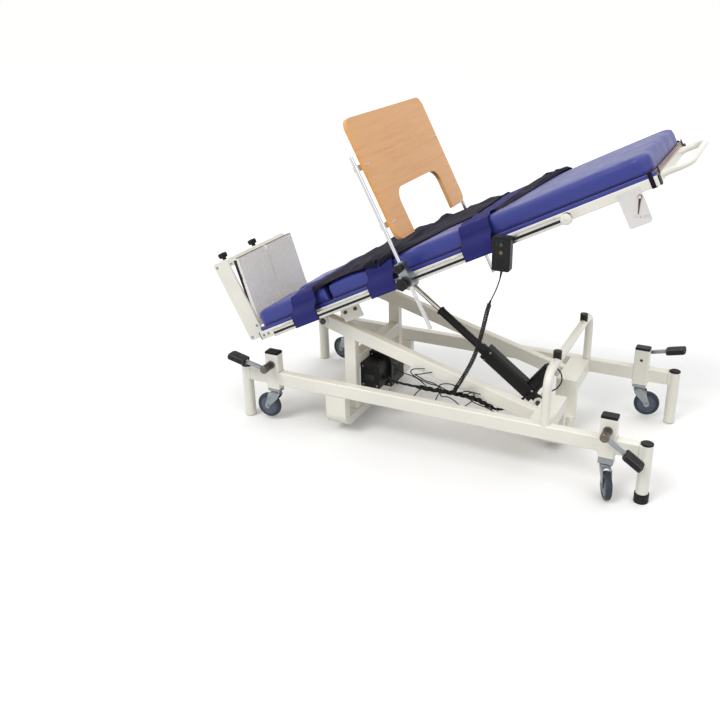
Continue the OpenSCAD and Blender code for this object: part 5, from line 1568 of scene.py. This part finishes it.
def make_motor_lead():
    points = [(1318, 14, 334), (1338, 18, 330), (1362, 20, 306), (1368, 18, 270),
              (1352, 14, 236), (1322, 8, 214), (1296, 4, 200)]
    line = smooth_route(points, 70)
    lead = finish_bm("motor_lead", sweep(line, MOTOR_LEAD_D / 2, 12), "cord_jacket", "actuator")
    boots = []
    for a, b in ((points[0], points[1]), (points[-1], points[-2])):
        boots.append((lathe([(0, -6), (6.5, -6), (6.5, 2), (4.6, 8), (3.4, 22), (0, 22)], 24),
                      at(*a, facing(Vector(b) - Vector(a)))))
    finish_bm("motor_lead_boots", join(*boots), "black_rubber", "actuator")


make_foot_grips()
make_motor_lead()


# Floor and light

def seen_ray(tree):
    """1 for what the camera sees directly or through metal and glass, 0 for other light."""
    path = tree.nodes.new("ShaderNodeLightPath")
    total = path.outputs["Is Camera Ray"]
    for ray in ("Is Glossy Ray", "Is Transmission Ray"):
        both = tree.nodes.new("ShaderNodeMath")
        both.operation, both.use_clamp = "ADD", True
        tree.links.new(total, both.inputs[0])
        tree.links.new(path.outputs[ray], both.inputs[1])
        total = both.outputs[0]
    return total


def make_floor():
    n = Nodes("floor")
    grey = srgb(186, 186, 184)
    fine = n.ramp(n.noise(2.0, 3.0), (0.3, (0.96, 0.955, 0.945)), (0.7, (0.985, 0.98, 0.97)))
    n.set(n.mix(seen_ray(n.tree), grey, fine), Roughness=0.9, Specular_IOR_Level=0.1)
    bm = bmesh.new()
    bmesh.ops.create_grid(bm, x_segments=8, y_segments=8, size=14)
    floor = put("floor", to_mesh("floor", bm))
    floor.data.materials.append(n.material)
    floor.location.z = cad_box[0].z - 0.0005


def make_world():
    world = bpy.data.worlds.new("world")
    scene.world = world
    world.use_nodes = True
    tree = world.node_tree
    tree.nodes.clear()
    soft = tree.nodes.new("ShaderNodeBackground")
    soft.inputs["Color"].default_value = (0.96, 0.98, 1.0, 1)
    soft.inputs["Strength"].default_value = 0.62
    white = tree.nodes.new("ShaderNodeBackground")
    white.inputs["Color"].default_value = (1, 0.998, 0.99, 1)
    white.inputs["Strength"].default_value = 1.0
    mix = tree.nodes.new("ShaderNodeMixShader")
    out = tree.nodes.new("ShaderNodeOutputWorld")
    tree.links.new(seen_ray(tree), mix.inputs[0])
    tree.links.new(soft.outputs[0], mix.inputs[1])
    tree.links.new(white.outputs[0], mix.inputs[2])
    tree.links.new(mix.outputs[0], out.inputs["Surface"])


def sun_light(name, direction, strength, soft, colour=(1, 1, 1)):
    """A distant lamp, seen from the object in the direction, as wide as soft degrees."""
    data = bpy.data.lights.new(name, "SUN")
    data.energy = strength
    data.angle = math.radians(soft)
    data.color = colour
    put(name, data).matrix_world = facing(direction)


make_floor()
make_world()
sun_light("key", (-0.30, -0.62, 0.72), 1.3, 26, (1, 0.99, 0.98))
sun_light("fill", (0.64, -0.40, 0.66), 0.6, 50, (0.98, 0.99, 1))
sun_light("over", (0.10, 0.35, 0.93), 0.70, 60)
scene.view_settings.view_transform = "Standard"
